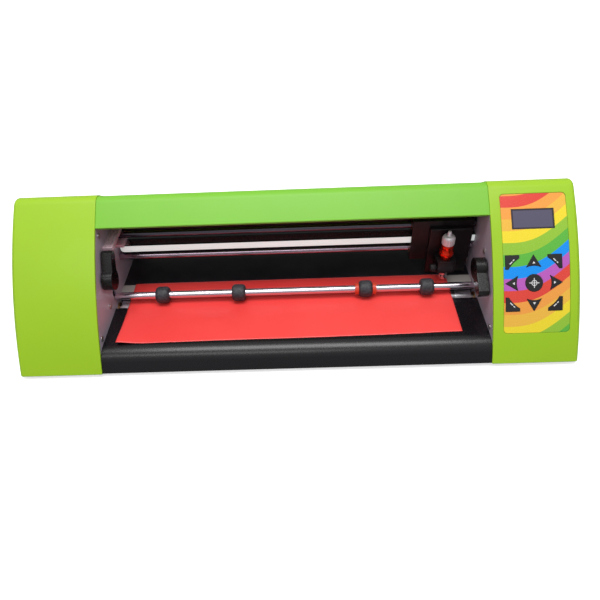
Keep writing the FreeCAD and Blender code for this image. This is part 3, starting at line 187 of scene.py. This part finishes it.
def build_dust(make, given, out):
    """A thin film of dust that lies on upward faces, broken up by a cloudy noise."""
    up = make.add("SeparateXYZ", None, _0=make.add("NewGeometry").outputs["Normal"]).outputs[2]
    place = make.add("TexCoord").outputs["Object"]
    cloud = make.add("TexNoise", None, Vector=place, Scale=22.0, Detail=4.0, Roughness=0.7).outputs[0]
    lying = make.math("MULTIPLY", make.ramp(up, 0.3, 0.95), make.ramp(cloud, 0.35, 0.75))
    make.feed(out["Mask"], make.math("MULTIPLY", lying, given["Amount"]))


dust_group = shader_group("dust", (("Amount", 0.1),), (("Mask", "NodeSocketFloat"),), build_dust)


def finish(
    name, color, roughness, grain, metallic=0.0, edge=0.0005, spread=0.08, tint=0.06, edge_highlight=None, dust=0.05,
    pattern=None, **fixed
):
    """A material: base colour with a cloudy tint, grain bump, rounded edges lightened as a painted highlight,
    thin dust.

    grain is (scale, bump strength, bump height in metres). pattern(make) gives another base colour.
    fixed sets sockets of the shader itself.
    """
    item = bpy.data.materials.new(name)
    item.use_nodes = True
    shader = item.node_tree.nodes["Principled BSDF"]
    make = Wiring(item.node_tree)
    texture = make.add("Group", {"node_tree": grain_group}, Scale=grain[0], Cloud=12.0)
    edges = make.add("Group", {"node_tree": edge_group}, Radius=edge)
    film = make.add("Group", {"node_tree": dust_group}, Amount=dust)
    if pattern:
        body = pattern(make)
    else:
        darker = tuple(part * (1.0 - tint) for part in color) + (1.0,)
        lighter = tuple(min(1.0, part * (1.0 + tint)) for part in color) + (1.0,)
        body = make.blend(texture.outputs["Tone"], darker, lighter)
    # Edges blend towards a lighter colour: a painted highlight along them.
    edge_highlight = edge_highlight or tuple(min(1.0, part * 1.2 + 0.005) for part in color)
    body = make.blend(make.math("MULTIPLY", edges.outputs["Edge"], 0.5), body, (*edge_highlight, 1.0))
    body = make.blend(film.outputs["Mask"], body, (0.45, 0.44, 0.42, 1.0))
    make.feed(shader.inputs["Base Color"], body)
    shine = make.ramp(texture.outputs["Height"], 0.3, 0.7, roughness - spread / 2, roughness + spread / 2)
    make.feed(shader.inputs["Roughness"], shine)
    bump = make.add("Bump", None, Strength=grain[1], Distance=grain[2])
    make.feed(bump.inputs["Height"], texture.outputs["Height"])
    make.feed(bump.inputs["Normal"], edges.outputs["Normal"])
    make.feed(shader.inputs["Normal"], bump.outputs[0])
    shader.inputs["Metallic"].default_value = metallic
    for key, value in fixed.items():
        shader.inputs[key.replace("_", " ")].default_value = value
    return item


def dress(material, *nodes):
    for node in nodes:
        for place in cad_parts[node].material_slots:
            place.material = material


moulded_green = finish(
    "moulded green", (0.345, 0.60, 0.012), 0.36, (700.0, 0.08, 0.0002), edge=0.0008, tint=0.02, dust=0.02
)
dress(moulded_green, "left_end_cover", "right_end_cover")

# ---- Top cover --------------------------------------------------------------------------------
# A folded 1.5 mm steel sheet over the ridge, powder coated in a cooler green than the mouldings.
coated_green = finish(
    "powder-coated green", (0.20, 0.545, 0.028), 0.46, (1500.0, 0.15, 0.0002),
    edge=0.0008, tint=0.02, dust=0.02,
)
dress(coated_green, "top_cover")

# ---- Side plates and base ---------------------------------------------------------------------
# Laser-cut 2 mm steel plates, lilac grey satin paint; everything that spans the machine is
# fixed between them.
plate_paint = finish("grey plate paint", (0.43, 0.36, 0.43), 0.40, (1200.0, 0.12, 0.0002), tint=0.05)
dress(plate_paint, "left_side_plate", "right_side_plate", "base_plate")

# ---- Media bed --------------------------------------------------------------------------------
# Two black coated platens either side of the drive roller, with a pale cutting strip let in.
bed_black = finish(
    "black bed coat", (0.007, 0.006, 0.009), 0.40, (1400.0, 0.18, 0.0002),
    tint=0.15, edge_highlight=(0.05, 0.05, 0.055), dust=0.03,
)
dress(bed_black, "rear_platen")
apron_black = finish(
    "satin apron coat", (0.004, 0.0035, 0.005), 0.27, (1400.0, 0.12, 0.0002),
    tint=0.1, edge_highlight=(0.03, 0.03, 0.035), dust=0.0,
)
dress(apron_black, "front_platen")
strip_pale = finish("cutting strip", (0.42, 0.39, 0.36), 0.5, (500.0, 0.15, 0.0002))
dress(strip_pale, "cutting_strip")

# ---- Beam and guide rods ----------------------------------------------------------------------
# A black anodised box extrusion carries the load; the carriage runs on two ground steel rods.
beam_black = finish(
    "black anodised beam", (0.006, 0.005, 0.007), 0.36, (1800.0, 0.1, 0.0001),
    tint=0.1, edge_highlight=(0.03, 0.03, 0.035),
)
dress(beam_black, "carriage_beam")
# The lower rod's pink-lilac tint is a painted reflection of the red vinyl below it.
oiled_rod_pink_reflection = finish(
    "oiled rod steel with painted pink reflection", (0.40, 0.31, 0.38), 0.22, (2500.0, 0.05, 0.0001), metallic=1.0, spread=0.08, dust=0.0
)
dress(oiled_rod_pink_reflection, "lower_guide_rod")
# The upper rod is a darker copy of the same steel: painted shade under the top cover.
rod_steel_painted_shade = finish(
    "rod steel with painted shade", (0.13, 0.12, 0.15), 0.24, (2500.0, 0.05, 0.0001), metallic=1.0, spread=0.08, dust=0.0
)
dress(rod_steel_painted_shade, "upper_guide_rod")

# ---- Drive roller and pinch shaft -------------------------------------------------------------
# Both turn; the shaft is polished chrome, the roller has bands of grit below the pinch rollers.
# The chrome's pink-violet tint is a painted reflection.
chrome_painted_reflection = finish(
    "polished chrome", (0.74, 0.68, 0.76), 0.17, (2500.0, 0.03, 0.0001), metallic=1.0, spread=0.05, dust=0.0
)
dress(chrome_painted_reflection, "pinch_shaft")


def grit_bands(make):
    """Grey blasted bands of 20 mm, every 42 mm along the roller, with salt-and-pepper grains."""
    place = make.add("TexCoord").outputs["Object"]
    along = make.add("SeparateXYZ", None, _0=place).outputs[0]
    phase = make.math("FRACT", make.math("ADD", make.math("MULTIPLY", along, 1.0 / 0.042), 0.5))
    band = make.math("LESS_THAN", make.math("ABSOLUTE", make.math("SUBTRACT", phase, 0.5)), 0.24)
    grains = make.add("TexNoise", None, Vector=place, Scale=2600.0, Detail=2.0).outputs[0]
    gritty = make.blend(make.ramp(grains, 0.35, 0.65), (0.10, 0.10, 0.11, 1.0), (0.55, 0.54, 0.56, 1.0))
    return make.blend(band, (0.70, 0.69, 0.72, 1.0), gritty)


roller_steel = finish(
    "grit roller steel", (0.5, 0.5, 0.5), 0.30, (2600.0, 0.2, 0.0002), metallic=1.0, pattern=grit_bands
)
dress(roller_steel, "drive_roller")


# ---- Pinch rollers ----------------------------------------------------------------------------
# Four black rubber rollers with rounded shoulders; each can be shifted along the shaft, and the
# third is held between two red collars.
def place_mesh(name, points, faces, material, body, smooth=True):
    """A mesh object from arrays of points (metres) and faces, dressed, and riding on a CAD body."""
    mesh = bpy.data.meshes.new(name)
    mesh.from_pydata([tuple(point) for point in points], [], faces)
    mesh.polygons.foreach_set("use_smooth", np.full(len(mesh.polygons), smooth))
    mesh.materials.append(material)
    mesh.update()
    item = bpy.data.objects.new(name, mesh)
    scene.collection.objects.link(item)
    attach(item, body)
    return item


def net(rows, columns, around=True, first=0):
    """Quads of a grid of points, rows by columns, joined up round the columns when around is true."""
    width = columns if around else columns - 1
    return [
        (first + i * columns + j, first + i * columns + (j + 1) % columns,
         first + (i + 1) * columns + (j + 1) % columns, first + (i + 1) * columns + j)
        for i in range(rows - 1) for j in range(width)
    ]


def lathe(profile, axis, centre, steps=72, ripple=None, first=0):
    """Points and faces of a turned solid: for each (radius, distance) of the profile a ring about the axis.

    A ring's point is centre + distance * axis + radius * (cos a, sin a) across it. ripple(a, distance)
    multiplies the radius. Both ends are closed by one face.
    """
    angle = np.linspace(0.0, 2 * np.pi, steps, endpoint=False)
    frames = {"X": ((0, 1, 0), (0, 0, 1), (1, 0, 0)), "Z": ((1, 0, 0), (0, 1, 0), (0, 0, 1))}
    across, upward, along = (np.array(one, float) for one in frames[axis])
    rows = []
    for radius, distance in profile:
        reach = radius * (ripple(angle, distance) if ripple else np.ones(steps))
        ring = np.outer(reach * np.cos(angle), across) + np.outer(reach * np.sin(angle), upward)
        rows.append(np.array(centre) + distance * along + ring)
    points = np.concatenate(rows) / 1000.0
    faces = net(len(profile), steps, first=first)
    last = first + (len(profile) - 1) * steps
    faces.append(tuple(range(first + steps - 1, first - 1, -1)))
    faces.append(tuple(range(last, last + steps)))
    return points, faces


def rubber_painted_glints(make):
    """Near-black rubber with paler cells, a painted highlight standing in for the glints on the tread."""
    place = make.add("TexCoord").outputs["Object"]
    cells = make.add("TexVoronoi", None, Vector=place, Scale=420.0).outputs["Distance"]
    return make.blend(make.ramp(cells, 0.2, 0.8), (0.014, 0.014, 0.018, 1.0), (0.045, 0.045, 0.055, 1.0))


tread_rubber = finish(
    "tread rubber", (0.02, 0.02, 0.02), 0.55, (900.0, 0.5, 0.0004), pattern=rubber_painted_glints, edge=0.0003
)
pinch_axis = (-17.5, 33.9)
pinch_places = (-147.0, -62.0, 78.6, 146.0)
shoulder = np.linspace(0.0, math.pi / 2, 9)
half_width, crown, hub, shoulder_run = 7.4, 9.35, 6.0, 4.4
side_profile = [
    (hub + (crown - hub) * math.sin(a), -half_width + shoulder_run * (1 - math.cos(a))) for a in shoulder
]
tread = [(crown, x) for x in np.linspace(-half_width + shoulder_run, half_width - shoulder_run, 7)[1:-1]]
roller_profile = [(4.1, -half_width)] + side_profile + tread + [(r, -x) for r, x in side_profile[::-1]]
roller_profile += [(4.1, half_width)]
for number, x in enumerate(pinch_places, 1):
    node = f"pinch_roller_{number}"
    points, faces = lathe(
        roller_profile, "X", (x, *pinch_axis), 96, lambda a, d: 1.0 - 0.006 * (np.cos(30 * a + d) > 0.6)
    )
    roller = place_mesh(node + "_tread", points, faces, tread_rubber, f"pinch_{number}")
    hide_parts(node)
collar_red = finish("red collar", (0.62, 0.045, 0.015), 0.42, (900.0, 0.1, 0.0002), tint=0.15)
dress(collar_red, "roller_collars")


# ---- Media ------------------------------------------------------------------------------------
# A sheet of red sign vinyl on its liner lies on both platens and runs between the rollers. Its
# front left corner lifts a little, and it has one dent and slight buckles in front of the rollers.
def film_pattern(make):
    """Signal red, a little paler in soft cloudy patches."""
    place = make.add("TexCoord").outputs["Object"]
    cloud = make.add("TexNoise", None, Vector=place, Scale=9.0, Detail=2.0).outputs[0]
    return make.blend(make.ramp(cloud, 0.3, 0.7), (0.90, 0.056, 0.053, 1.0), (0.98, 0.074, 0.068, 1.0))


red_film = finish(
    "red vinyl", (0.9, 0.05, 0.05), 0.34, (160.0, 0.04, 0.0003), pattern=film_pattern, edge=0.0001, dust=0.015
)
film_left, film_right, film_back = -187.0, 174.0, 14.0
film_rest, film_thick = 24.12, 0.1
columns, rows = 181, 61
across, along = np.meshgrid(np.linspace(0, 1, columns), np.linspace(0, 1, rows))
front = -82.0 + 4.5 * across + 0.5 * np.sin(across * 7.0)
film_x = film_left + (film_right - film_left) * across
film_y = front + (film_back - front) * along
# Flat under the rollers and the knife; what can slide below the rollers stays lower than their crowns.
loose = np.clip((-30.0 - film_y) / 20.0, 0.0, 1.0)
loose = loose * loose * (3.0 - 2.0 * loose)
buckle = 0.6 * np.sin(across * 21.0 + 4.0 * along) + 0.4 * np.sin(across * 47.0 - 9.0 * along + 1.0)
corner_lift = 3.4 * np.exp(-((across / 0.045) ** 2) - (along / 0.22) ** 2)
dent = 0.9 * np.exp(-(((across - 0.27) / 0.035) ** 2) - ((along - 0.33) / 0.12) ** 2)
film_z = film_rest + loose * (0.16 + 0.12 * buckle + corner_lift + dent)
top = np.stack([film_x, film_y, np.maximum(film_z, film_rest)], -1).reshape(-1, 3)
under = top - np.array([0.0, 0.0, film_thick])
film_points = np.concatenate([top, under]) / 1000.0
film_faces = net(rows, columns, around=False)
film_faces += [face[::-1] for face in net(rows, columns, around=False, first=len(top))]
rim_points = list(range(columns)) + [i * columns + columns - 1 for i in range(1, rows)]
rim_points += [(rows - 1) * columns + j for j in range(columns - 2, -1, -1)]
rim_points += [i * columns for i in range(rows - 2, 0, -1)]
for one, two in zip(rim_points, rim_points[1:] + rim_points[:1]):
    film_faces.append((two, one, one + len(top), two + len(top)))
film = place_mesh("vinyl_film", film_points, film_faces, red_film, "media")
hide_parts("vinyl_sheet")


# ---- Carriage belt ----------------------------------------------------------------------------
# An endless toothed belt: white outer face, black teeth of 2 mm pitch inside; it runs round the
# idler pulley on the left and the motor pulley on the right.
def belt_path(first_x, second_x, y, radius, steps):
    """Points and outward normals of two half circles and the two straight runs between them."""
    span = second_x - first_x
    total = 2 * span + 2 * math.pi * radius
    points, normals = [], []
    for s in np.arange(steps) * total / steps:
        if s < span:
            point, way = (first_x + s, y - radius), (0.0, -1.0)
        elif s < span + math.pi * radius:
            a = -math.pi / 2 + (s - span) / radius
            way = (math.cos(a), math.sin(a))
            point = (second_x + radius * way[0], y + radius * way[1])
        elif s < 2 * span + math.pi * radius:
            point, way = (second_x - (s - span - math.pi * radius), y + radius), (0.0, 1.0)
        else:
            a = math.pi / 2 + (s - 2 * span - math.pi * radius) / radius
            way = (math.cos(a), math.sin(a))
            point = (first_x + radius * way[0], y + radius * way[1])
        points.append(point)
        normals.append(way)
    return np.array(points), np.array(normals)


# The white back glows faintly: painted light that brightens it in the shade of the cover.
belt_back_painted_glow = finish(
    "white belt back with painted glow", (0.86, 0.92, 0.90), 0.35, (900.0, 0.06, 0.0002), dust=0.0,
    Emission_Color=(0.92, 1.0, 0.98, 1.0), Emission_Strength=0.38,
)
tooth_black = finish("black belt teeth", (0.012, 0.012, 0.014), 0.55, (900.0, 0.15, 0.0002), dust=0.0)
tooth_count, tooth_steps = 436, 8
idler_x, motor_x, pulley_y, pitch_radius = -190.5, 228.0, 28.0, 6.2
belt_bottom, belt_top = 66.0, 74.0
belt_centre, belt_normal = belt_path(idler_x, motor_x, pulley_y, pitch_radius, tooth_count * tooth_steps)
tooth = np.where(np.arange(len(belt_centre)) % tooth_steps < tooth_steps // 2, 0.75, 0.10)
outer = belt_centre + 0.5 * belt_normal
inner = belt_centre - tooth[:, None] * belt_normal
loops = [(outer, belt_bottom), (outer, belt_top), (inner, belt_top), (inner, belt_bottom)]
belt_points = np.concatenate([np.column_stack([ring, np.full(len(ring), z)]) for ring, z in loops]) / 1000.0
count = len(belt_centre)
belt_faces, belt_marks = [], []
for side in range(4):
    low, high = side * count, ((side + 1) % 4) * count
    for k in range(count):
        belt_faces.append((low + k, low + (k + 1) % count, high + (k + 1) % count, high + k))
        belt_marks.append(0 if side == 0 else 1)
belt = place_mesh(
    "carriage_belt_loop", belt_points, belt_faces, belt_back_painted_glow, "chassis", smooth=False
)
belt.data.materials.append(tooth_black)
belt.data.polygons.foreach_set("material_index", belt_marks)
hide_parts("carriage_belt")

# ---- Idler bracket and pulleys ----------------------------------------------------------------
# A perforated aluminium bar with a bent shelf holds the idler pulley at the left side plate.
# Its pale pinkish colour is painted light: the bar is made as light as its upward face looks lit from above.
bracket_painted_light = finish(
    "aluminium with painted pale light", (0.80, 0.58, 0.66), 0.42, (900.0, 0.12, 0.0002), metallic=0.25, spread=0.1
)
dress(bracket_painted_light, "idler_bar")
turned_metal = finish("turned aluminium", (0.66, 0.66, 0.68), 0.30, (1500.0, 0.1, 0.0002), metallic=1.0)
dress(turned_metal, "idler_pulley", "carriage_motor_pulley", "feed_pulley", "feed_motor_pulley")

# ---- Carriage ---------------------------------------------------------------------------------
# Black nylon housing with sintered bushes; the lift unit in front of it raises the knife.
carriage_black = finish(
    "black nylon", (0.007, 0.005, 0.006), 0.34, (900.0, 0.2, 0.0002),
    tint=0.1, edge_highlight=(0.05, 0.045, 0.05), dust=0.02, Specular_IOR_Level=0.35,
)
dress(carriage_black, "carriage_body", "lift_unit", "tool_clamp")
bronze = finish("sintered bronze", (0.42, 0.25, 0.11), 0.45, (1400.0, 0.25, 0.0002), metallic=1.0)
dress(bronze, "roller_bushes", "linear_bushes")


# ---- Knife holder, cap and clamp knob ---------------------------------------------------------
# A turned holder: red anodised barrel with a flange, bright steel nose, clear knurled cap on top
# that sets the knife's depth, and a fluted knob that tightens the clamp.
tool_axis = (168.0, 5.0, 0.0)
red_anodised = finish(
    "red anodised", (0.80, 0.035, 0.012), 0.24, (1200.0, 0.08, 0.0001), metallic=0.9, dust=0.0
)
bright_steel = finish(
    "bright steel", (0.72, 0.70, 0.72), 0.20, (1600.0, 0.06, 0.0001), metallic=1.0, dust=0.0
)
barrel = [(1.1, 40.2), (5.4, 40.2), (5.5, 41.0), (5.5, 57.0), (7.1, 60.6), (7.6, 61.4), (7.7, 62.0)]
barrel += [(7.7, 64.6), (7.5, 65.2), (6.7, 65.8), (6.5, 66.4), (6.5, 69.0), (6.2, 69.3), (6.2, 69.9)]
barrel += [(6.5, 70.2), (6.5, 74.2), (6.2, 74.5), (3.5, 74.5)]
points, faces = lathe(barrel, "Z", tool_axis, 96)
holder = place_mesh("knife_barrel", points, faces, red_anodised, "tool")
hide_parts("blade_holder")
nose = [(1.1, 26.6), (3.0, 26.6), (3.6, 27.0), (4.8, 28.6), (4.9, 29.4), (4.9, 33.4), (4.5, 33.8)]
nose += [(4.5, 34.4), (4.9, 34.8), (4.9, 40.2), (1.1, 40.2)]
points, faces = lathe(nose, "Z", tool_axis, 96)
place_mesh("knife_nose", points, faces, bright_steel, "tool")
clear_cap = finish(
    "clear knurled cap", (0.80, 0.74, 0.78), 0.12, (1200.0, 0.05, 0.0001),
    metallic=0.35, dust=0.0, Coat_Weight=0.6,
)
cap_profile = [(3.2, 71.2), (3.2, 74.9), (6.0, 74.9), (6.7, 75.6), (6.9, 76.4)]
cap_profile += [(6.95, z) for z in np.linspace(77.0, 83.4, 9)]
cap_profile += [(6.6, 84.4), (5.6, 85.7), (4.6, 86.1), (2.4, 86.4), (2.2, 87.2), (2.2, 90.6)]
cap_profile += [(1.9, 91.4), (1.0, 91.9)]
points, faces = lathe(
    cap_profile, "Z", tool_axis, 144,
    lambda a, z: 1.0 - 0.07 * (76.0 < z < 85.0) * (0.5 + 0.5 * np.cos(18 * a)),
)
cap = place_mesh("knurled_cap", points, faces, clear_cap, "cap")
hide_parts("blade_cap")
knob_profile = [(3.6, 0.2), (4.2, 0.5), (4.5, 1.2), (4.5, 6.0), (4.2, 6.6), (1.8, 6.7), (1.8, 9.9)]
points, faces = lathe(
    knob_profile, "X", (150.5, -1.5, 47.5), 96,
    lambda a, d: 1.0 - 0.09 * (0.4 < d < 6.7) * (0.5 + 0.5 * np.cos(12 * a)),
)
knob = place_mesh("fluted_knob", points, faces, carriage_black, "knob")
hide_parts("clamp_knob")
ground_carbide = finish("ground carbide", (0.40, 0.40, 0.43), 0.25, (1500.0, 0.05, 0.0001), metallic=1.0)
dress(ground_carbide, "knife_blade")

# ---- Levers and shaft holders -----------------------------------------------------------------
# Black nylon hand levers at both side plates lift the pinch shaft by a cam in its sliding holder.
lever_black = finish(
    "glossy black nylon", (0.004, 0.0035, 0.004), 0.26, (700.0, 0.12, 0.0003),
    tint=0.1, edge_highlight=(0.03, 0.03, 0.03), dust=0.02, Specular_IOR_Level=0.4,
)
dress(lever_black, "left_lever", "right_lever", "pinch_holders")


# ---- Side plate screws ------------------------------------------------------------------------
# Zinc plated pan-head screws with a cross recess.
def cross_screw(x, y, z, side, first):
    """Shank and domed head: head height falls with the radius squared; the recess is cut where either
    distance from the two crossing lines is under its half width."""
    steps, rings = 48, 14
    angle = np.linspace(0.0, 2 * np.pi, steps, endpoint=False)
    rows = []
    for r in np.linspace(0.02, 2.85, rings):
        a, b = r * np.cos(angle), r * np.sin(angle)
        height = 1.28 - 0.55 * (r / 2.85) ** 2
        slot = (np.minimum(np.abs(a), np.abs(b)) < 0.38) & (r < 1.75)
        rows.append(np.column_stack([height - 0.7 * slot, a, b]))
    for r, height in ((2.85, 0.05), (1.45, 0.0), (1.45, -9.9)):
        rows.append(np.column_stack([np.full(steps, height), r * np.cos(angle), r * np.sin(angle)]))
    points = np.concatenate(rows)
    points[:, 0] *= -side
    points = (points + np.array([x, y, z])) / 1000.0
    faces = net(len(rows), steps, first=first)
    last = first + (len(rows) - 1) * steps
    faces += [tuple(range(first + steps - 1, first - 1, -1)), tuple(range(last, last + steps))]
    return points, faces if side > 0 else [face[::-1] for face in faces]


zinc = finish("zinc plate", (0.50, 0.50, 0.50), 0.32, (1200.0, 0.1, 0.0002), metallic=1.0)
screw_places = ((-201, -7.1, 109.5), (-201, -79, 30.5), (-201, 75, 60), (-201, -37.2, 36.9))
screw_places += ((201, -16.0, 80.0), (201, -77, 29.5), (201, 75, 60))
screw_points, screw_faces = [], []
for x, y, z in screw_places:
    points, faces = cross_screw(x, y, z, 1 if x > 0 else -1, sum(len(part) for part in screw_points))
    screw_points.append(points)
    screw_faces += faces
screws = place_mesh(
    "cross_head_screws", np.concatenate(screw_points), screw_faces, zinc, "chassis"
)
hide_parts("side_plate_screws")
dress(zinc, "power_supply", "data_socket")

# ---- Keypad overlay ---------------------------------------------------------------------------
# A polyester film printed with sweeping bands of colour, let flush into the right end cover. Its
# pattern is drawn in the plane of the casing's front chord, in millimetres from its top left corner.
ridge_corner = (0.0201, 0.1428)
slope = (0.675094, 0.737732)
overlay_left, overlay_top, overlay_width = 0.2112, 0.015, 66.0


def build_sheet_place(make, given, out):
    """Millimetres across and down the keypad, from the object's own coordinates."""
    x, y, z = make.add("SeparateXYZ", None, _0=make.add("TexCoord").outputs["Object"]).outputs
    rise = make.math("MULTIPLY", make.math("SUBTRACT", z, ridge_corner[1]), -slope[1])
    run = make.math("MULTIPLY", make.math("SUBTRACT", y, ridge_corner[0]), -slope[0])
    down = make.math("SUBTRACT", make.math("ADD", rise, run), overlay_top)
    make.feed(out["Down"], make.math("MULTIPLY", down, 1000.0))
    make.feed(out["Across"], make.math("MULTIPLY", make.math("SUBTRACT", x, overlay_left), 1000.0))


sheet_place = shader_group(
    "keypad place", (), (("Across", "NodeSocketFloat"), ("Down", "NodeSocketFloat")), build_sheet_place
)


def build_wave(make, given, out):
    """1 below a line that runs from Start at the left edge to Finish at the right one, sagging by Bend."""
    share = make.math("DIVIDE", given["Across"], overlay_width)
    line = make.ramp(share, 0.0, 1.0, given["Start"], given["Finish"])
    sag = make.math("MULTIPLY", make.math("SINE", make.math("MULTIPLY", share, math.pi)), given["Bend"])
    below = make.math("SUBTRACT", given["Down"], make.math("ADD", line, sag))
    make.feed(out["Mask"], make.ramp(below, -0.12, 0.12))


wave_group = shader_group(
    "print wave",
    (("Across", 0.0), ("Down", 0.0), ("Start", 0.0), ("Finish", 0.0), ("Bend", 0.0)),
    (("Mask", "NodeSocketFloat"),),
    build_wave,
)


ink = {
    "orange": (0.90, 0.36, 0.06),
    "yellow": (0.90, 0.72, 0.03),
    "violet": (0.50, 0.11, 0.52),
    "lime": (0.30, 0.56, 0.04),
    "azure": (0.0, 0.29, 0.90),
    "green": (0.11, 0.48, 0.05),
    "amber": (0.88, 0.50, 0.06),
    "red": (0.76, 0.06, 0.04),
}
spectrum = ("red", "orange", "amber", "yellow", "lime", "green", "azure", "violet")
band_count = 16
first_band, band_step, band_rise, band_sag = 2.0, 12.0, 26.0, 9.0


def printed_waves(make):
    """Evenly spaced bands, each laid over the one above it, all rising to the right."""
    place = make.add("Group", {"node_tree": sheet_place})
    where = {"Across": place.outputs["Across"], "Down": place.outputs["Down"]}
    color = (*ink["orange"], 1.0)
    for number in range(band_count):
        start = first_band + band_step * number
        lines = {"Start": start, "Finish": start - band_rise, "Bend": band_sag}
        mask = make.add("Group", {"node_tree": wave_group}, **lines, **where)
        name = spectrum[number % len(spectrum)]
        color = make.blend(mask.outputs[0], color, (*ink[name], 1.0))
    return color


print_film = finish(
    "printed film", (0.8, 0.4, 0.1), 0.26, (900.0, 0.05, 0.0002),
    pattern=printed_waves, edge=0.0002, dust=0.01,
)
dress(print_film, "keypad_overlay")


# ---- Display ----------------------------------------------------------------------------------
# A small unlit dot display behind a dark printed frame.
def display_pattern(make):
    """Grey-violet window in a dark frame, with the faint grid of its dots."""
    place = make.add("Group", {"node_tree": sheet_place})
    side = make.math("ABSOLUTE", make.math("SUBTRACT", place.outputs["Across"], 31.8))
    rise = make.math("ABSOLUTE", make.math("SUBTRACT", place.outputs["Down"], 26.2))
    frame_mask = make.math("MAXIMUM", make.ramp(side, 19.2, 19.8), make.ramp(rise, 8.4, 8.9))
    dots = []
    for distance in (place.outputs["Across"], place.outputs["Down"]):
        phase = make.math("FRACT", make.math("MULTIPLY", distance, 1.6))
        dots.append(make.ramp(make.math("ABSOLUTE", make.math("SUBTRACT", phase, 0.5)), 0.40, 0.48))
    lines = make.math("MULTIPLY", make.math("MAXIMUM", *dots), 0.35)
    panel = make.blend(lines, (0.105, 0.095, 0.15, 1.0), (0.055, 0.05, 0.085, 1.0))
    return make.blend(frame_mask, panel, (0.035, 0.032, 0.045, 1.0))


display_glass = finish(
    "display glass", (0.1, 0.1, 0.1), 0.16, (900.0, 0.01, 0.0001),
    pattern=display_pattern, edge=0.0001, dust=0.01,
)
dress(display_glass, "lcd_module")

# ---- Keys -------------------------------------------------------------------------------------
# Nine black rubber keys; plain white marks are printed on them: a target on the round one, arrow
# heads on the four arrows, and two dashes on each corner key.
key_black = finish(
    "key rubber", (0.008, 0.008, 0.010), 0.42, (1200.0, 0.15, 0.0002), edge_highlight=(0.05, 0.05, 0.055), edge=0.0004
)
dress(key_black, *[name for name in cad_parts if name.startswith("key_")])
mark_white = finish("white mark", (0.78, 0.78, 0.78), 0.4, (900.0, 0.02, 0.0001), edge=0.00005, dust=0.0)
arc_radius, arc_rise, chord_length = 436.75, 10.1, 186.79
key_middle, key_middle_down = 241.4, 105.7


def on_key(across, up, proud=0.36):
    """A point over the front arc, from the keys' middle, in the chord's plane; the arc's height over the
    chord is sqrt(R squared - distance from the chord's middle squared) less R, plus the rise."""
    down = key_middle_down - up
    height = math.sqrt(arc_radius**2 - (down - chord_length / 2) ** 2) - arc_radius + arc_rise + proud
    y = 1000 * ridge_corner[0] - down * slope[0] - height * slope[1]
    z = 1000 * ridge_corner[1] - down * slope[1] + height * slope[0]
    return (key_middle + across) / 1000, y / 1000, z / 1000


def stroke(start, end, width):
    """The four corners of a straight mark between two places on the keypad."""
    way = np.array(end, float) - np.array(start, float)
    side = np.array([-way[1], way[0]]) / np.hypot(*way) * width / 2
    return [np.array(start) - side, np.array(end) - side, np.array(end) + side, np.array(start) + side]


def ring_marks(radius, width, steps=40):
    """Quads round a flat ring: each corner is (cos a, sin a) times the inner or the outer radius."""
    angles = np.linspace(0, 2 * np.pi, steps + 1)
    spots = [np.array([math.cos(a), math.sin(a)]) for a in angles]
    inner = radius - width
    return [[a * inner, a * radius, b * radius, b * inner] for a, b in zip(spots, spots[1:])]


marks = {"key_centre": ring_marks(2.9, 0.65)}
for a, b in ((1, 0), (0, 1), (-1, 0), (0, -1)):
    marks["key_centre"].append(stroke((a * 1.0, b * 1.0), (a * 4.9, b * 4.9), 0.75))
for tail, head in (((-1.2, 0), (1.2, 0)), ((0, -1.2), (0, -0.375)), ((0, 0.375), (0, 1.2))):
    marks["key_centre"].append(stroke(tail, head, 0.75))
for name, (a, b) in {"right": (1, 0), "up": (0, 1), "left": (-1, 0), "down": (0, -1)}.items():
    tip, back, half = 21.6, 19.4, 1.5
    place = [np.array([a * d - b * w, b * d + a * w]) for d, w in ((tip, 0), (back, half), (back, -half))]
    marks["key_" + name] = [place]
corners = {"upper_right": (1, 1), "upper_left": (-1, 1), "lower_left": (-1, -1), "lower_right": (1, -1)}
for name, (a, b) in corners.items():
    centre, run = np.array([a, b]) * 21.6, np.array([-a, b]) * 0.7071
    run = run if run[0] > 0 else -run
    dashes = ((-3.2, 0.3), (1.3, 3.2))
    marks["key_" + name] = [stroke(centre + run * tail, centre + run * head, 1.0) for tail, head in dashes]
for name, shapes in marks.items():
    points, faces = [], []
    for shape in shapes:
        ordered = shape if np.cross(shape[1] - shape[0], shape[2] - shape[0]) > 0 else shape[::-1]
        faces.append(tuple(range(len(points), len(points) + len(ordered))))
        points += [on_key(*spot) for spot in ordered]
    place_mesh(name + "_mark", points, faces, mark_white, name, smooth=False)

# ---- Motors, boards, connectors and feet ------------------------------------------------------
# What sits under the end covers and at the back.
motor_black = finish("motor lacquer", (0.03, 0.03, 0.032), 0.4, (900.0, 0.1, 0.0002))
dress(motor_black, "feed_motor", "carriage_motor")


def board_pattern(make):
    """Green solder mask with paler copper tracks below it."""
    place = make.add("TexCoord").outputs["Object"]
    tracks = make.add("TexVoronoi", {"distance": "MANHATTAN"}, Vector=place, Scale=240.0).outputs["Distance"]
    return make.blend(make.ramp(tracks, 0.45, 0.50), (0.02, 0.12, 0.04, 1.0), (0.04, 0.22, 0.07, 1.0))


board_green = finish("solder mask", (0.02, 0.16, 0.05), 0.3, (900.0, 0.1, 0.0002), pattern=board_pattern)
dress(board_green, "main_board", "keypad_board")
socket_black = finish(
    "connector nylon", (0.015, 0.015, 0.016), 0.42, (900.0, 0.15, 0.0002), edge_highlight=(0.06, 0.06, 0.06)
)
dress(socket_black, "power_inlet", "power_switch")
foot_rubber = finish("foot rubber", (0.02, 0.02, 0.021), 0.7, (1200.0, 0.3, 0.0003), tint=0.15)
dress(foot_rubber, "rubber_feet", "feed_belt")
